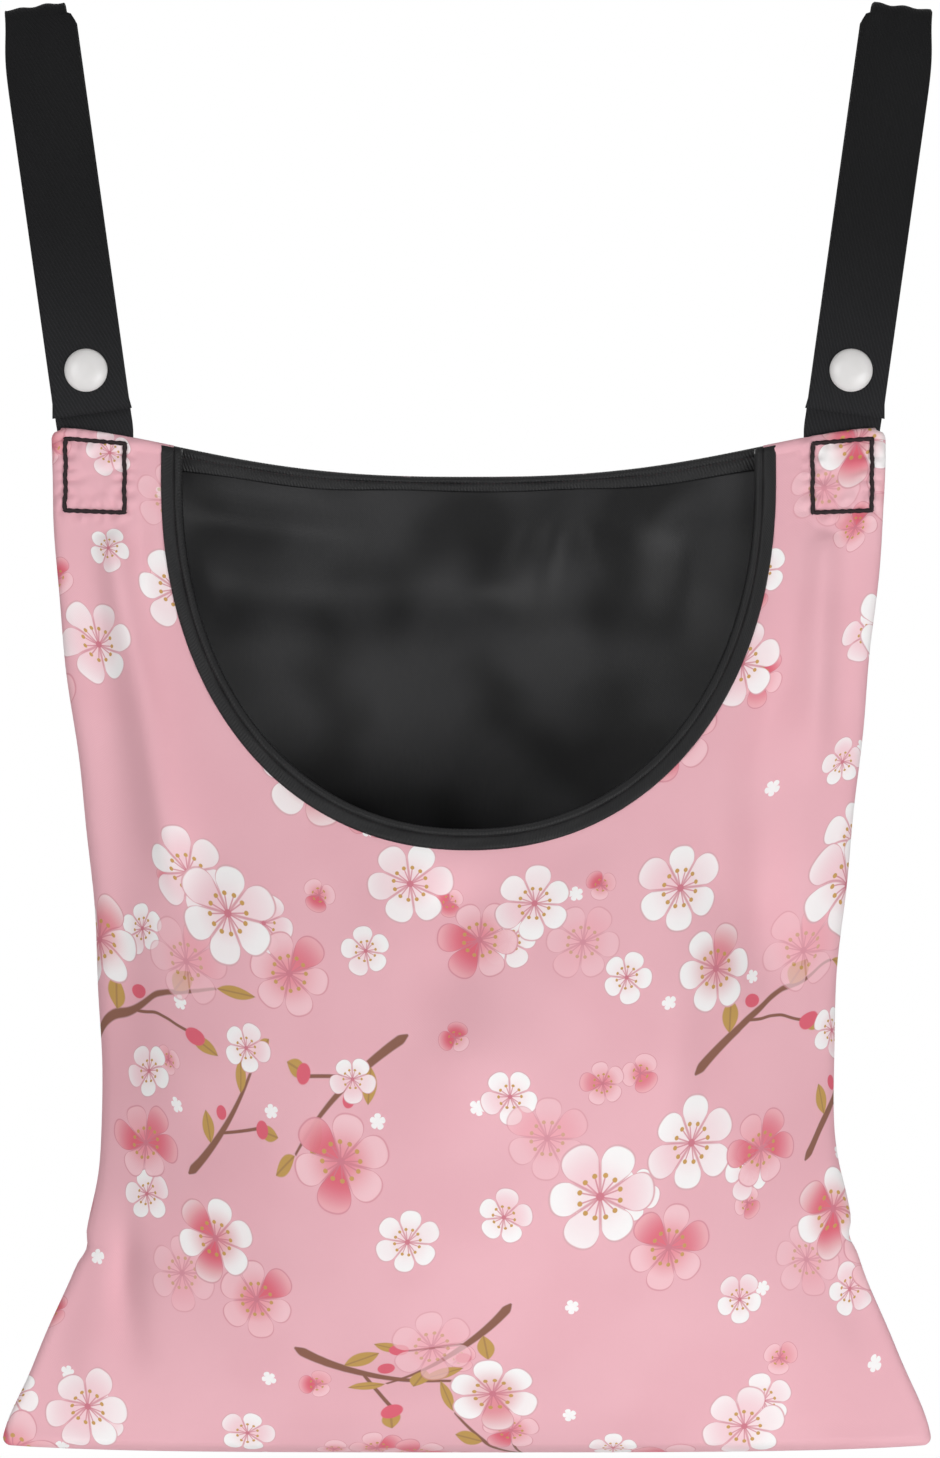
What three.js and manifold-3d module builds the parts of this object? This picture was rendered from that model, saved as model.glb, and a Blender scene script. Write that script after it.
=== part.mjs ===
// A hanging laundry bag: a lined cloth pouch with a half-round mouth, carried by two webbing loops that
// close with press studs. Millimetres, +Z up, the front faces -Y. The origin lies on the line that the
// bag hangs from, midway between the two loops.

import * as THREE from "three";
import { mergeVertices } from "three/addons/utils/BufferGeometryUtils.js";
import Module from "manifold-3d";

const wasm = await Module();
wasm.setup();

// Pouch, seen from the front. A drop is measured down from the top corners.
const pouchHeight = 341;
const topHalfWidth = 139;
const waistHalfWidth = 122;
const waistDrop = 215;
const hemHalfWidth = 155.3;
const hemFlare = 1.6; // above 1 the sides keep to the waist for longer before they spread
const hemLift = 2.3; // the bottom corners sit this much higher than the middle of the hem
const topSag = 16; // the top edge hangs this low in the middle
const sagBreadth = 2.6; // higher makes the low part of the top edge broader
const sagEase = 1.9; // higher makes the top edge leave the corners more gently
const mouthDrop = 132; // top corners to the lowest point of the cut mouth
const mouthSide = 16; // the mouth's sides run straight down to here
const mouthRoundness = 2.15; // 2 makes the mouth's lower part a half ellipse, more makes it squarer

// Pouch, seen from the side. It is fullest below the middle and has a rounded bottom.
const frontDepth = 48;
const backDepth = 30;
const mouthBow = 7; // the back's top edge bows out this far behind the corners
const fullShare = 0.68; // share of the way down at which the pouch is fullest
const topEase = 1.3; // higher keeps the upper part flatter
const bottomRoundness = 0.6; // lower makes the bottom rounder
const cornerFlatness = 0.7; // higher keeps the bottom corners flatter

// Cloth layers
const outerThickness = 0.6;
const liningThickness = 0.5;
const clothGap = 0.3; // clear space between neighbouring layers
const seamWidth = 5; // turned-in seam allowance

// Binding tape on the mouth and on the back's top edge
const bindingWidth = 7.5;
const bindingThickness = 0.5;

// Webbing loops
const strapWidth = 25.4;
const strapThickness = 1.4;
const strapLength = 141; // top corners of the pouch to the seat of the loop, along the webbing
const strapLean = THREE.MathUtils.degToRad(7.9); // the loops lean outwards
const strapInset = 1.5; // pouch corner to the edge of the webbing
const shoulderMargin = 9.6; // cloth between the webbing's sewn end and the binding
const anchorDepth = 28; // sewn end of the webbing below the top corners
const rootRise = 5; // the webbing folds this far above the top corners
const seatWidth = 3; // flat underside of the loop's crown, where the line bears
const loopCorner = 3; // inside radius on either side of the seat
const crownLip = 1; // straight end of the crown above the fold
const foldGap = 0.5; // clear space at each fold of the webbing
const tabRise = 5.5; // free end of the front leg above the top corners

// Box stitch that holds each webbing end
const stitchInset = 2.4; // edge of the webbing to the stitching
const stitchDrop = 2.4; // top corners to the upper row
const stitchHeight = 24.5;
const threadWidth = 1.3;
const threadThickness = 0.5;

// Press studs
const snapRise = 20; // centre of the stud above the top corners
const capRadius = 7.2;
const capHeight = 2.5;
const capRim = 0.7; // straight edge under the dome
const backCapRadius = 6.4;
const backCapHeight = 1.7;
const postRadius = 1.1;
const postClearance = 0.3;
const socketRadius = 5.4;
const socketHeight = 2.2;
const socketFloor = 0.9; // web round the post, in front of the stud's bore
const studRadius = 1.9;
const studHeight = 1.1;
const studFlange = 1.3;
const studClearance = 0.4;
const snapGap = 0.3; // clear space where a press-stud piece lies on webbing or on its mate

// Facets
const shoulderColumns = 4;
const mouthColumns = 16;
const backColumns = 12;
const panelRows = 14;
const rowCrowding = 0.5; // higher puts the rows closer together towards the hem
const seamRows = 10;
const arcSegments = 6;
const turnedSegments = 20;

// Derived places
const loopGap = seatWidth + 2 * loopCorner; // front leg to rear leg, at the crown
const seamPlane = (loopGap + strapThickness) / 2; // the pouch's side seams lie behind the rear leg's middle
const cornerZ = -strapLength * Math.cos(strapLean);
const strapRootX = topHalfWidth - strapInset - strapWidth / 2 / Math.cos(strapLean);
const seatX = strapRootX + strapLength * Math.sin(strapLean);
const anchorInnerX = strapRootX - strapWidth / 2;
const bindingHalfWidth = anchorInnerX - shoulderMargin; // outer edge of the mouth's binding
const mouthHalfWidth = bindingHalfWidth - bindingWidth;
const layerStart = strapThickness / 2 + clothGap; // seam plane to the inside face of either lining

// Materials
const printedCloth = new THREE.MeshStandardMaterial({ color: 0xeab0bd, roughness: 0.75, metalness: 0 });
const liningCloth = new THREE.MeshStandardMaterial({ color: 0x2c2c2d, roughness: 0.5, metalness: 0 });
const bindingTape = new THREE.MeshStandardMaterial({ color: 0x28282a, roughness: 0.6, metalness: 0 });
const webbing = new THREE.MeshStandardMaterial({ color: 0x1e1e20, roughness: 0.8, metalness: 0 });
const thread = new THREE.MeshStandardMaterial({ color: 0x14080b, roughness: 0.7, metalness: 0 });
const whitePlastic = new THREE.MeshStandardMaterial({ color: 0xeceae8, roughness: 0.25, metalness: 0 });

function piece(name, geometry, material, parent) {
  const mesh = new THREE.Mesh(geometry, material);
  mesh.name = name;
  parent.add(mesh);
}

function range(count) {
  return Array.from({ length: count }, (_, i) => i);
}

// Outline of the pouch. u runs from -1 to 1 between the side seams, and drop runs down from the corners.
function halfWidthAt(drop) {
  if (drop < waistDrop) {
    const above = THREE.MathUtils.smoothstep(drop, 0, waistDrop);
    return topHalfWidth + (waistHalfWidth - topHalfWidth) * above;
  }
  const below = ((drop - waistDrop) / (pouchHeight - waistDrop)) ** hemFlare;
  return waistHalfWidth + (hemHalfWidth - waistHalfWidth) * THREE.MathUtils.smoothstep(below, 0, 1);
}

function acrossAt(x, drop) {
  return THREE.MathUtils.clamp(x / halfWidthAt(drop), -1, 1);
}

function topDropAt(u) {
  return topSag * Math.max(0, 1 - Math.abs(u) ** sagBreadth) ** sagEase;
}

function hemDropAt(u) {
  return pouchHeight - hemLift * u ** 4;
}

// How far the cloth swells away from the seam plane.
function swellAt(u, drop) {
  const share = THREE.MathUtils.clamp(drop / hemDropAt(u), 0, 1);
  if (share < fullShare) return Math.sin((Math.PI / 2) * (share / fullShare) ** topEase);
  const below = (share - fullShare) / (1 - fullShare);
  return (1 - below ** 2) ** bottomRoundness;
}

// How the swell falls off towards the sides, faster near the bottom corners.
function sideFall(u, drop) {
  const low = THREE.MathUtils.smoothstep(drop / hemDropAt(u), fullShare, 1);
  return (1 - u * u) ** (1 + cornerFlatness * low);
}

function frontBulge(x, drop) {
  const u = acrossAt(x, drop);
  return frontDepth * swellAt(u, drop) * sideFall(u, drop);
}

function backBulge(x, drop) {
  const u = acrossAt(x, drop);
  const bow = mouthBow * (1 - drop / pouchHeight) ** 2;
  return (backDepth * swellAt(u, drop) + bow) * sideFall(u, drop);
}

// A surface that lies a fixed depth from the seam plane and follows the front's or the back's swell.
function frontFace(depth) {
  return (x, drop) => -depth - frontBulge(x, drop);
}

function backFace(depth) {
  return (x, drop) => depth + backBulge(x, drop);
}

const liningOutside = layerStart + liningThickness;
const outerInside = liningOutside + clothGap;
const outerOutside = outerInside + outerThickness;

// A patch is a flat layout of cloth: points as [x, drop], and quads that run round each cell.
function emptyPatch() {
  return { points: [], quads: [] };
}

function addPoint(patch, x, drop) {
  patch.points.push([x, drop]);
  return patch.points.length - 1;
}

// Joins neighbouring columns of point numbers into quads.
function weave(patch, columns) {
  for (let c = 0; c + 1 < columns.length; c++) {
    const left = columns[c];
    const right = columns[c + 1];
    for (let r = 0; r + 1 < left.length; r++) {
      patch.quads.push([left[r], left[r + 1], right[r + 1], right[r]]);
    }
  }
}

// Points from [x, drop] down to the hem, at an even share of the pouch's width, closer near the hem.
function columnToHem(patch, x, drop) {
  const u = acrossAt(x, drop);
  const hem = hemDropAt(u);
  return range(panelRows + 1).map((row) => {
    const even = row / panelRows;
    const below = drop + (hem - drop) * even * (1 + rowCrowding * (1 - even));
    return row === 0 ? addPoint(patch, x, drop) : addPoint(patch, u * halfWidthAt(below), below);
  });
}

// Makes a patch into a closed cloth solid between two surfaces, front nearer to -Y.
function clothSolid(patch, front, back) {
  const count = patch.points.length;
  const positions = [front, back].flatMap((face) =>
    patch.points.flatMap(([x, drop]) => [x, face(x, drop), -drop]),
  );
  const triangles = [];
  const edges = new Map();
  for (const quad of patch.quads) {
    const [a, b, c, d] = quad;
    triangles.push(a, b, c, a, c, d);
    triangles.push(count + a, count + c, count + b, count + a, count + d, count + c);
    quad.forEach((from, i) => {
      const to = quad[(i + 1) % quad.length];
      if (edges.has(`${to} ${from}`)) edges.delete(`${to} ${from}`);
      else edges.set(`${from} ${to}`, [from, to]);
    });
  }
  for (const [from, to] of edges.values()) {
    triangles.push(to, from, count + from, to, count + from, count + to);
  }
  const geometry = new THREE.BufferGeometry();
  geometry.setAttribute("position", new THREE.Float32BufferAttribute(positions, 3));
  geometry.setIndex(triangles);
  return geometry;
}

// Mouth: the cut edge and the outer edge of its binding, from left to right. Each goes straight down
// from the top edge and then round the bottom.
function mouthPath(halfWidth, lowest) {
  const start = topDropAt(halfWidth / topHalfWidth);
  const power = 2 / mouthRoundness;
  const round = range(mouthColumns + 1).map((i) => {
    const angle = (Math.PI * i) / mouthColumns;
    const along = Math.cos(angle);
    const down = Math.max(0, Math.sin(angle));
    const x = -halfWidth * Math.sign(along) * Math.abs(along) ** power;
    return [x, mouthSide + (lowest - mouthSide) * down ** power];
  });
  return [[-halfWidth, start], ...round, [halfWidth, start]];
}

const cutEdge = mouthPath(mouthHalfWidth, mouthDrop);
const bindingEdge = mouthPath(bindingHalfWidth, mouthDrop + bindingWidth);

function shoulderXs(side) {
  return range(shoulderColumns).map((i) => {
    const outward = side < 0 ? 1 - i / shoulderColumns : (i + 1) / shoulderColumns;
    return side * (bindingHalfWidth + (topHalfWidth - bindingHalfWidth) * outward);
  });
}

// A column beside the mouth: a point on the top edge, then from the end of the mouth's straight side.
function sideColumn(patch, x) {
  const top = addPoint(patch, x, topDropAt(x / topHalfWidth));
  const share = (Math.abs(x) - bindingHalfWidth) / (topHalfWidth - bindingHalfWidth);
  const below = bindingHalfWidth + share * (halfWidthAt(mouthSide) - bindingHalfWidth);
  return [top, ...columnToHem(patch, Math.sign(x) * below, mouthSide)];
}

function frontPatch() {
  const patch = emptyPatch();
  const left = shoulderXs(-1).map((x) => sideColumn(patch, x));
  const leftEdge = sideColumn(patch, -bindingHalfWidth);
  const middle = bindingEdge.slice(2, -2).map(([x, drop]) => columnToHem(patch, x, drop));
  const rightEdge = sideColumn(patch, bindingHalfWidth);
  const right = shoulderXs(1).map((x) => sideColumn(patch, x));
  weave(patch, [...left, leftEdge]);
  weave(patch, [leftEdge.slice(1), ...middle, rightEdge.slice(1)]);
  weave(patch, [rightEdge, ...right]);
  const below = middle.map(([top]) => top);
  const flap = [leftEdge[0], leftEdge[1], ...below, rightEdge[1], rightEdge[0]];
  weave(
    patch,
    cutEdge.map(([x, drop], i) => [addPoint(patch, x, drop), flap[i]]),
  );
  return patch;
}

// Back: columns between the shoulders start at the binding's lower edge, below a strip that it covers.
const backXs = range(backColumns + 1).map((i) => bindingHalfWidth * ((2 * i) / backColumns - 1));
const backTop = backXs.map((x) => [x, topDropAt(x / topHalfWidth)]);
const backBindingEdge = backTop.map(([x, drop]) => [x, drop + bindingWidth]);

function backPatch() {
  const patch = emptyPatch();
  const shoulder = (x) => {
    const top = addPoint(patch, x, topDropAt(x / topHalfWidth));
    return [top, ...columnToHem(patch, x, topDropAt(x / topHalfWidth) + bindingWidth)];
  };
  const left = shoulderXs(-1).map(shoulder);
  const middle = backTop.map(([x, drop], i) => {
    const top = addPoint(patch, x, drop);
    return [top, ...columnToHem(patch, ...backBindingEdge[i])];
  });
  const right = shoulderXs(1).map(shoulder);
  weave(patch, [...left, ...middle, ...right]);
  return patch;
}

// Binding: a channel folded over an edge. Each section goes round the channel, from the front flap to
// the back flap and back along its inside.
function bindingSolid(edge, flapEdge, front, back, foldDirection) {
  const inside = clothGap;
  const outside = clothGap + bindingThickness;
  const sections = edge.map(([x, drop], i) => {
    const [flapX, flapDrop] = flapEdge[i];
    const [foldX, foldDrop] = foldDirection(x, drop, flapX, flapDrop);
    const at = (px, pd, face, reach, away) => [
      px + foldX * reach,
      face(px, pd) + away,
      -(pd + foldDrop * reach),
    ];
    return [
      at(flapX, flapDrop, front, 0, -outside),
      at(x, drop, front, outside, -outside),
      at(x, drop, back, outside, outside),
      at(flapX, flapDrop, back, 0, outside),
      at(flapX, flapDrop, back, 0, inside),
      at(x, drop, back, inside, inside),
      at(x, drop, front, inside, -inside),
      at(flapX, flapDrop, front, 0, -inside),
    ];
  });
  return loftSolid(sections);
}

// Closed solid through equal rings of points, with flat ends that fan about the channel's fold.
function loftSolid(sections) {
  const sides = sections[0].length;
  const triangles = [];
  for (let s = 0; s + 1 < sections.length; s++) {
    for (let i = 0; i < sides; i++) {
      const j = (i + 1) % sides;
      const [a, b] = [s * sides + i, s * sides + j];
      const [c, d] = [a + sides, b + sides];
      triangles.push(a, d, b, a, c, d);
    }
  }
  const cap = [0, 1, 6, 0, 6, 7, 1, 2, 5, 1, 5, 6, 2, 3, 4, 2, 4, 5];
  const last = (sections.length - 1) * sides;
  for (let i = 0; i < cap.length; i += 3) {
    triangles.push(cap[i], cap[i + 1], cap[i + 2]);
    triangles.push(last + cap[i], last + cap[i + 2], last + cap[i + 1]);
  }
  const geometry = new THREE.BufferGeometry();
  geometry.setAttribute("position", new THREE.Float32BufferAttribute(sections.flat(2), 3));
  geometry.setIndex(triangles);
  return geometry;
}

// Unit direction from a flap's edge across the cut edge, in the flat layout.
function awayFromFlap(x, drop, flapX, flapDrop) {
  const length = Math.hypot(x - flapX, drop - flapDrop);
  return [(x - flapX) / length, (drop - flapDrop) / length];
}

// Seam allowances: flat strips between the two linings.
function sideSeamPatch(side) {
  const patch = emptyPatch();
  const start = anchorDepth + clothGap;
  const end = hemDropAt(1);
  const column = (inset) =>
    range(seamRows + 1).map((row) => {
      const drop = start + ((end - start) * row) / seamRows;
      return addPoint(patch, side * (halfWidthAt(drop) - inset), drop);
    });
  weave(patch, side < 0 ? [column(0), column(seamWidth)] : [column(seamWidth), column(0)]);
  return patch;
}

function hemSeamPatch() {
  const patch = emptyPatch();
  const reach = halfWidthAt(pouchHeight - hemLift - 2 * seamWidth) - seamWidth - clothGap;
  const columns = range(2 * seamRows + 1).map((i) => {
    const x = reach * (i / seamRows - 1);
    const hem = hemDropAt(x / hemHalfWidth);
    return [addPoint(patch, x, hem - seamWidth), addPoint(patch, x, hem)];
  });
  weave(patch, columns);
  return patch;
}

// Box stitch: a square ring of thread on the front, over the webbing's sewn end.
function boxStitchPatch(side) {
  const patch = emptyPatch();
  const width = strapWidth - 2 * stitchInset;
  const centreX = side * strapRootX;
  const corners = [
    [-1, -1],
    [-1, 1],
    [1, 1],
    [1, -1],
  ];
  const stepsPerSide = 3;
  const ring = (inset) =>
    corners.flatMap(([sx, sd], i) => {
      const [nx, nd] = corners[(i + 1) % corners.length];
      return range(stepsPerSide).map((step) => {
        const t = step / stepsPerSide;
        const x = centreX + (sx + (nx - sx) * t) * (width / 2 - inset);
        const drop = stitchDrop + stitchHeight / 2 + (sd + (nd - sd) * t) * (stitchHeight / 2 - inset);
        return addPoint(patch, x, drop);
      });
    });
  const outer = ring(0);
  const inner = ring(threadWidth);
  outer.forEach((from, i) => {
    const next = (i + 1) % outer.length;
    patch.quads.push([from, outer[next], inner[next], inner[i]]);
  });
  return patch;
}

// Extrudes a side profile, drawn as (y, z), across the webbing's width.
function acrossWebbing(profile) {
  const geometry = new THREE.ExtrudeGeometry(profile, {
    depth: strapWidth,
    bevelEnabled: false,
    curveSegments: arcSegments,
  });
  geometry.translate(0, 0, -strapWidth / 2);
  const turn = new THREE.Matrix4().makeBasis(
    new THREE.Vector3(0, 1, 0),
    new THREE.Vector3(0, 0, 1),
    new THREE.Vector3(1, 0, 0),
  );
  return geometry.applyMatrix4(turn);
}

function toSolid(geometry) {
  const bare = geometry.clone();
  bare.deleteAttribute("normal");
  bare.deleteAttribute("uv");
  const merged = mergeVertices(bare, 1e-4);
  const mesh = new wasm.Mesh({
    numProp: 3,
    vertProperties: new Float32Array(merged.attributes.position.array),
    triVerts: new Uint32Array(merged.index.array),
  });
  return new wasm.Manifold(mesh);
}

function toGeometry(solid) {
  const mesh = solid.getMesh();
  const geometry = new THREE.BufferGeometry();
  geometry.setAttribute("position", new THREE.Float32BufferAttribute(mesh.vertProperties, 3));
  geometry.setIndex(new THREE.Uint32BufferAttribute(mesh.triVerts, 1));
  return geometry;
}

// Punches the post's hole through a layer of webbing, along Y.
function punched(geometry, y, z) {
  const depth = 4 * strapThickness;
  const punch = new THREE.CylinderGeometry(holeRadius, holeRadius, depth, turnedSegments);
  punch.translate(0, y, z);
  return toGeometry(toSolid(geometry).subtract(toSolid(punch)));
}

const holeRadius = postRadius + postClearance;

// Heights on a loop, along the webbing from the seat at 0.
const edgeZ = -strapLength;
const rootZ = edgeZ + rootRise;
const snapZ = edgeZ + snapRise;
const tabEndZ = edgeZ + tabRise;
const crownEndZ = -loopCorner - crownLip;
const foldZ = crownEndZ - foldGap - strapThickness / 2;
const innerY = loopGap / 2;
const legY = innerY + strapThickness / 2;

// Front leg: it closes in from the crown to the press stud.
const snapStack = 3 * snapGap + socketHeight + studFlange;
const tabTilt = Math.asin((loopGap - snapStack) / (foldZ - snapZ));
const tabSnapZ = -(foldZ - snapZ) / Math.cos(tabTilt);
const tabLength = (foldZ - tabEndZ) / Math.cos(tabTilt);

function loopProfile() {
  const cornerY = seatWidth / 2;
  const outerY = innerY + strapThickness;
  const outerCorner = loopCorner + strapThickness;
  const profile = new THREE.Shape();
  profile.moveTo(outerY, rootZ);
  profile.lineTo(outerY, -loopCorner);
  profile.absarc(cornerY, -loopCorner, outerCorner, 0, Math.PI / 2, false);
  profile.absarc(-cornerY, -loopCorner, outerCorner, Math.PI / 2, Math.PI, false);
  profile.lineTo(-outerY, crownEndZ);
  profile.lineTo(-innerY, crownEndZ);
  profile.absarc(-cornerY, -loopCorner, loopCorner, Math.PI, Math.PI / 2, true);
  profile.absarc(cornerY, -loopCorner, loopCorner, Math.PI / 2, 0, true);
  profile.lineTo(innerY, rootZ);
  profile.absarc(legY, rootZ, strapThickness / 2, Math.PI, 2 * Math.PI, false);
  return profile;
}

function tabProfile() {
  const half = strapThickness / 2;
  const profile = new THREE.Shape();
  profile.moveTo(half, -tabLength);
  profile.absarc(0, 0, half, 0, Math.PI, false);
  profile.lineTo(-half, -tabLength);
  return profile;
}

// Sewn end of the webbing: upright in the pouch, with a slanted top that faces the leaning loop.
function anchorPatch(side) {
  const patch = emptyPatch();
  const top = rootZ - strapThickness / 2 - foldGap;
  const column = (across) => {
    const topX = seatX + across * Math.cos(strapLean) + top * Math.sin(strapLean);
    const topDrop = cornerZ - top * Math.cos(strapLean) + across * Math.sin(strapLean);
    return [addPoint(patch, side * topX, topDrop), addPoint(patch, side * (strapRootX + across), anchorDepth)];
  };
  const inner = column(-strapWidth / 2);
  const outer = column(strapWidth / 2);
  weave(patch, side < 0 ? [outer, inner] : [inner, outer]);
  return patch;
}

// Turns a profile of [radius, y] points about the Y axis.
function turned(points) {
  const profile = points.map(([radius, y]) => new THREE.Vector2(radius, y));
  return new THREE.LatheGeometry(profile, turnedSegments);
}

// Domed cap with its post. Away is the way the dome faces along Y, and seat is the webbing's face.
function capGeometry(seat, away, radius, height, postEnd) {
  const under = seat + away * snapGap;
  const rim = Math.min(capRim, height / 2);
  const dome = range(arcSegments).map((i) => {
    const angle = ((i + 1) / arcSegments) * (Math.PI / 2);
    const crown = i + 1 === arcSegments ? 0 : radius * Math.cos(angle);
    return [crown, under + away * (rim + (height - rim) * Math.sin(angle))];
  });
  const points = [
    [0, postEnd],
    [postRadius, postEnd],
    [postRadius, under],
    [radius, under],
    [radius, under + away * rim],
    ...dome,
  ];
  return turned(away < 0 ? points.reverse() : points);
}

function socketGeometry(seat) {
  const front = seat + snapGap;
  const floor = front + socketFloor;
  const back = front + socketHeight;
  const bore = studRadius + studClearance;
  return turned([
    [holeRadius, front],
    [socketRadius, front],
    [socketRadius, back],
    [bore, back],
    [bore, floor],
    [holeRadius, floor],
    [holeRadius, front],
  ]);
}

function studGeometry(seat) {
  const back = seat - snapGap;
  const flange = back - studFlange;
  const tip = flange - studHeight;
  const postBore = back - studFlange / 2 - snapGap;
  return turned([
    [0, tip],
    [studRadius, tip],
    [studRadius, flange],
    [socketRadius, flange],
    [socketRadius, back],
    [holeRadius, back],
    [holeRadius, postBore],
    [0, postBore],
  ]);
}

// Pouch
const bag = new THREE.Group();
const pouch = new THREE.Group();
pouch.position.set(0, seamPlane, cornerZ);
bag.add(pouch);

const frontCut = frontPatch();
const backCut = backPatch();
piece("front_outer", clothSolid(frontCut, frontFace(outerOutside), frontFace(outerInside)), printedCloth, pouch);
piece("front_lining", clothSolid(frontCut, frontFace(liningOutside), frontFace(layerStart)), liningCloth, pouch);
piece("back_lining", clothSolid(backCut, backFace(layerStart), backFace(liningOutside)), liningCloth, pouch);
piece("back_outer", clothSolid(backCut, backFace(outerInside), backFace(outerOutside)), printedCloth, pouch);

const mouthBinding = bindingSolid(
  cutEdge,
  bindingEdge,
  frontFace(outerOutside),
  frontFace(layerStart),
  awayFromFlap,
);
piece("mouth_binding", mouthBinding, bindingTape, pouch);

const topBinding = bindingSolid(
  backTop,
  backBindingEdge,
  backFace(layerStart),
  backFace(outerOutside),
  awayFromFlap,
);
piece("back_top_binding", topBinding, bindingTape, pouch);

const seamHalf = layerStart - clothGap;
const seamFront = () => -seamHalf;
const seamBack = () => seamHalf;
piece("bottom_seam", clothSolid(hemSeamPatch(), seamFront, seamBack), liningCloth, pouch);

// Loops, press studs and what each side of the pouch carries
for (const [label, side] of [
  ["left", -1],
  ["right", 1],
]) {
  piece(`${label}_side_seam`, clothSolid(sideSeamPatch(side), seamFront, seamBack), liningCloth, pouch);
  const stitchBack = outerOutside + clothGap;
  const stitch = clothSolid(
    boxStitchPatch(side),
    frontFace(stitchBack + threadThickness),
    frontFace(stitchBack),
  );
  piece(`${label}_box_stitch`, stitch, thread, pouch);
  piece(`${label}_strap_anchor`, clothSolid(anchorPatch(side), seamFront, seamBack), webbing, pouch);

  const loop = new THREE.Group();
  loop.position.set(side * seatX, 0, 0);
  loop.rotation.y = side * strapLean;
  bag.add(loop);
  piece(`${label}_strap_loop`, punched(acrossWebbing(loopProfile()), legY, snapZ), webbing, loop);

  const onRearLeg = new THREE.Group();
  onRearLeg.position.z = snapZ;
  loop.add(onRearLeg);
  const studPostEnd = innerY - snapGap - studFlange / 2;
  piece(`${label}_snap_stud`, studGeometry(innerY), whitePlastic, onRearLeg);
  const backCap = capGeometry(innerY + strapThickness, 1, backCapRadius, backCapHeight, studPostEnd);
  piece(`${label}_snap_back_cap`, backCap, whitePlastic, onRearLeg);

  const tab = new THREE.Group();
  tab.position.set(0, -legY, foldZ);
  tab.rotation.x = tabTilt;
  loop.add(tab);
  piece(`${label}_strap_tab`, punched(acrossWebbing(tabProfile()), 0, tabSnapZ), webbing, tab);

  const onTab = new THREE.Group();
  onTab.position.z = tabSnapZ;
  tab.add(onTab);
  const face = strapThickness / 2;
  const capPostEnd = face + snapGap + socketFloor / 2;
  piece(`${label}_snap_cap`, capGeometry(-face, -1, capRadius, capHeight, capPostEnd), whitePlastic, onTab);
  piece(`${label}_snap_socket`, socketGeometry(face), whitePlastic, onTab);
}

export default bag;
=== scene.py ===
import math

import bmesh
import bpy
import numpy as np
from mathutils import Matrix, Vector


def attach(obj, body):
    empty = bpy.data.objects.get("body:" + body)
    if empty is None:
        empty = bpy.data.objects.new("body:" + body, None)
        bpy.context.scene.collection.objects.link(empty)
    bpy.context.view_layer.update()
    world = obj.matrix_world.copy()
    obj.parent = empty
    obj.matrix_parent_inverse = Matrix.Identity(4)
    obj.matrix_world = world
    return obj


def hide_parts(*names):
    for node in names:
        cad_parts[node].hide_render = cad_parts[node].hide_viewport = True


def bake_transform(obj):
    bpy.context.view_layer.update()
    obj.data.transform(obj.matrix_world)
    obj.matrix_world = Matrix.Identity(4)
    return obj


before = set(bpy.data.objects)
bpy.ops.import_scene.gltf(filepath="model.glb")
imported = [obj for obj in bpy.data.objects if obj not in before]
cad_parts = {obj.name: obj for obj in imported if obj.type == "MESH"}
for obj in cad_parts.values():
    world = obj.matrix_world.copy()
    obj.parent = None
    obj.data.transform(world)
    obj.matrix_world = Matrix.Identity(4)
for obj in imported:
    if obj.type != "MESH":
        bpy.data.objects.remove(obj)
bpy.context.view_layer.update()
scene = bpy.context.scene
mm = 0.001
sides = {"left": -1, "right": 1}
# millimetres of cloth in one unit of its flat UV map
flatUnit = 100


class Sizes(dict):
    # a dictionary whose values also read as attributes
    __getattr__ = dict.__getitem__


def tint(red, green, blue):
    # screen colour, 0 to 255, as the linear colour that shaders take
    def linear(value):
        value /= 255
        return value / 12.92 if value <= 0.04045 else ((value + 0.055) / 1.055) ** 2.4
    return (linear(red), linear(green), linear(blue), 1.0)


def grey(level):
    return (level, level, level, 1)


def addObject(name, data):
    obj = bpy.data.objects.new(name, data)
    scene.collection.objects.link(obj)
    return obj


def newPiece(name, bm, look=None):
    # smooth object from a bmesh, which is freed
    mesh = bpy.data.meshes.new(name)
    bm.to_mesh(mesh)
    bm.free()
    mesh.polygons.foreach_set("use_smooth", [True] * len(mesh.polygons))
    mesh.update()
    if look:
        mesh.materials.append(look)
    return addObject(name, mesh)


def dress(piece, body, slot, *nodes):
    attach(piece, body)
    if nodes:
        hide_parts(*nodes)


# camera, light and floor
studio = Sizes(
    eye=(0.0005, -2.4, -0.2394), lens=177.8, sensor=36.0, farClip=60.0,
    keyPlace=(1.25, -1.9, -1.15), keyWatts=35.4, keySize=1.3,
    fillPlace=(-1.1, -1.9, -0.1), fillWatts=15.4, fillSize=1.0,
    topPlace=(0.1, -0.2, 1.7), topWatts=3.0, topSize=1.4,
    backPlace=(-0.3, 2.0, 0.4), backWatts=22.0, backSize=1.6,
    aim=(0.0, 0.0, -0.28), ambient=0.2,
    floorLevel=-1.5, floorRadius=9.0, floorSegments=96, floorTones=(0.86, 0.90), floorGrain=3.0,
    paleFrom=0.7, paleTo=1.2,
)


def makeCamera():
    data = bpy.data.cameras.new("studioCamera")
    data.lens = studio.lens
    data.sensor_width = studio.sensor
    data.clip_end = studio.farClip
    scene.camera = addObject("studioCamera", data)
    scene.camera.location = studio.eye
    scene.camera.rotation_euler = (math.pi / 2, 0, 0)


def makeLamp(name):
    data = bpy.data.lights.new(name + "Lamp", "AREA")
    data.energy = studio[name + "Watts"]
    data.size = studio[name + "Size"]
    lamp = addObject(name + "Lamp", data)
    lamp.location = studio[name + "Place"]
    direction = Vector(studio.aim) - lamp.location
    lamp.rotation_euler = direction.to_track_quat("-Z", "Y").to_euler()


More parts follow.
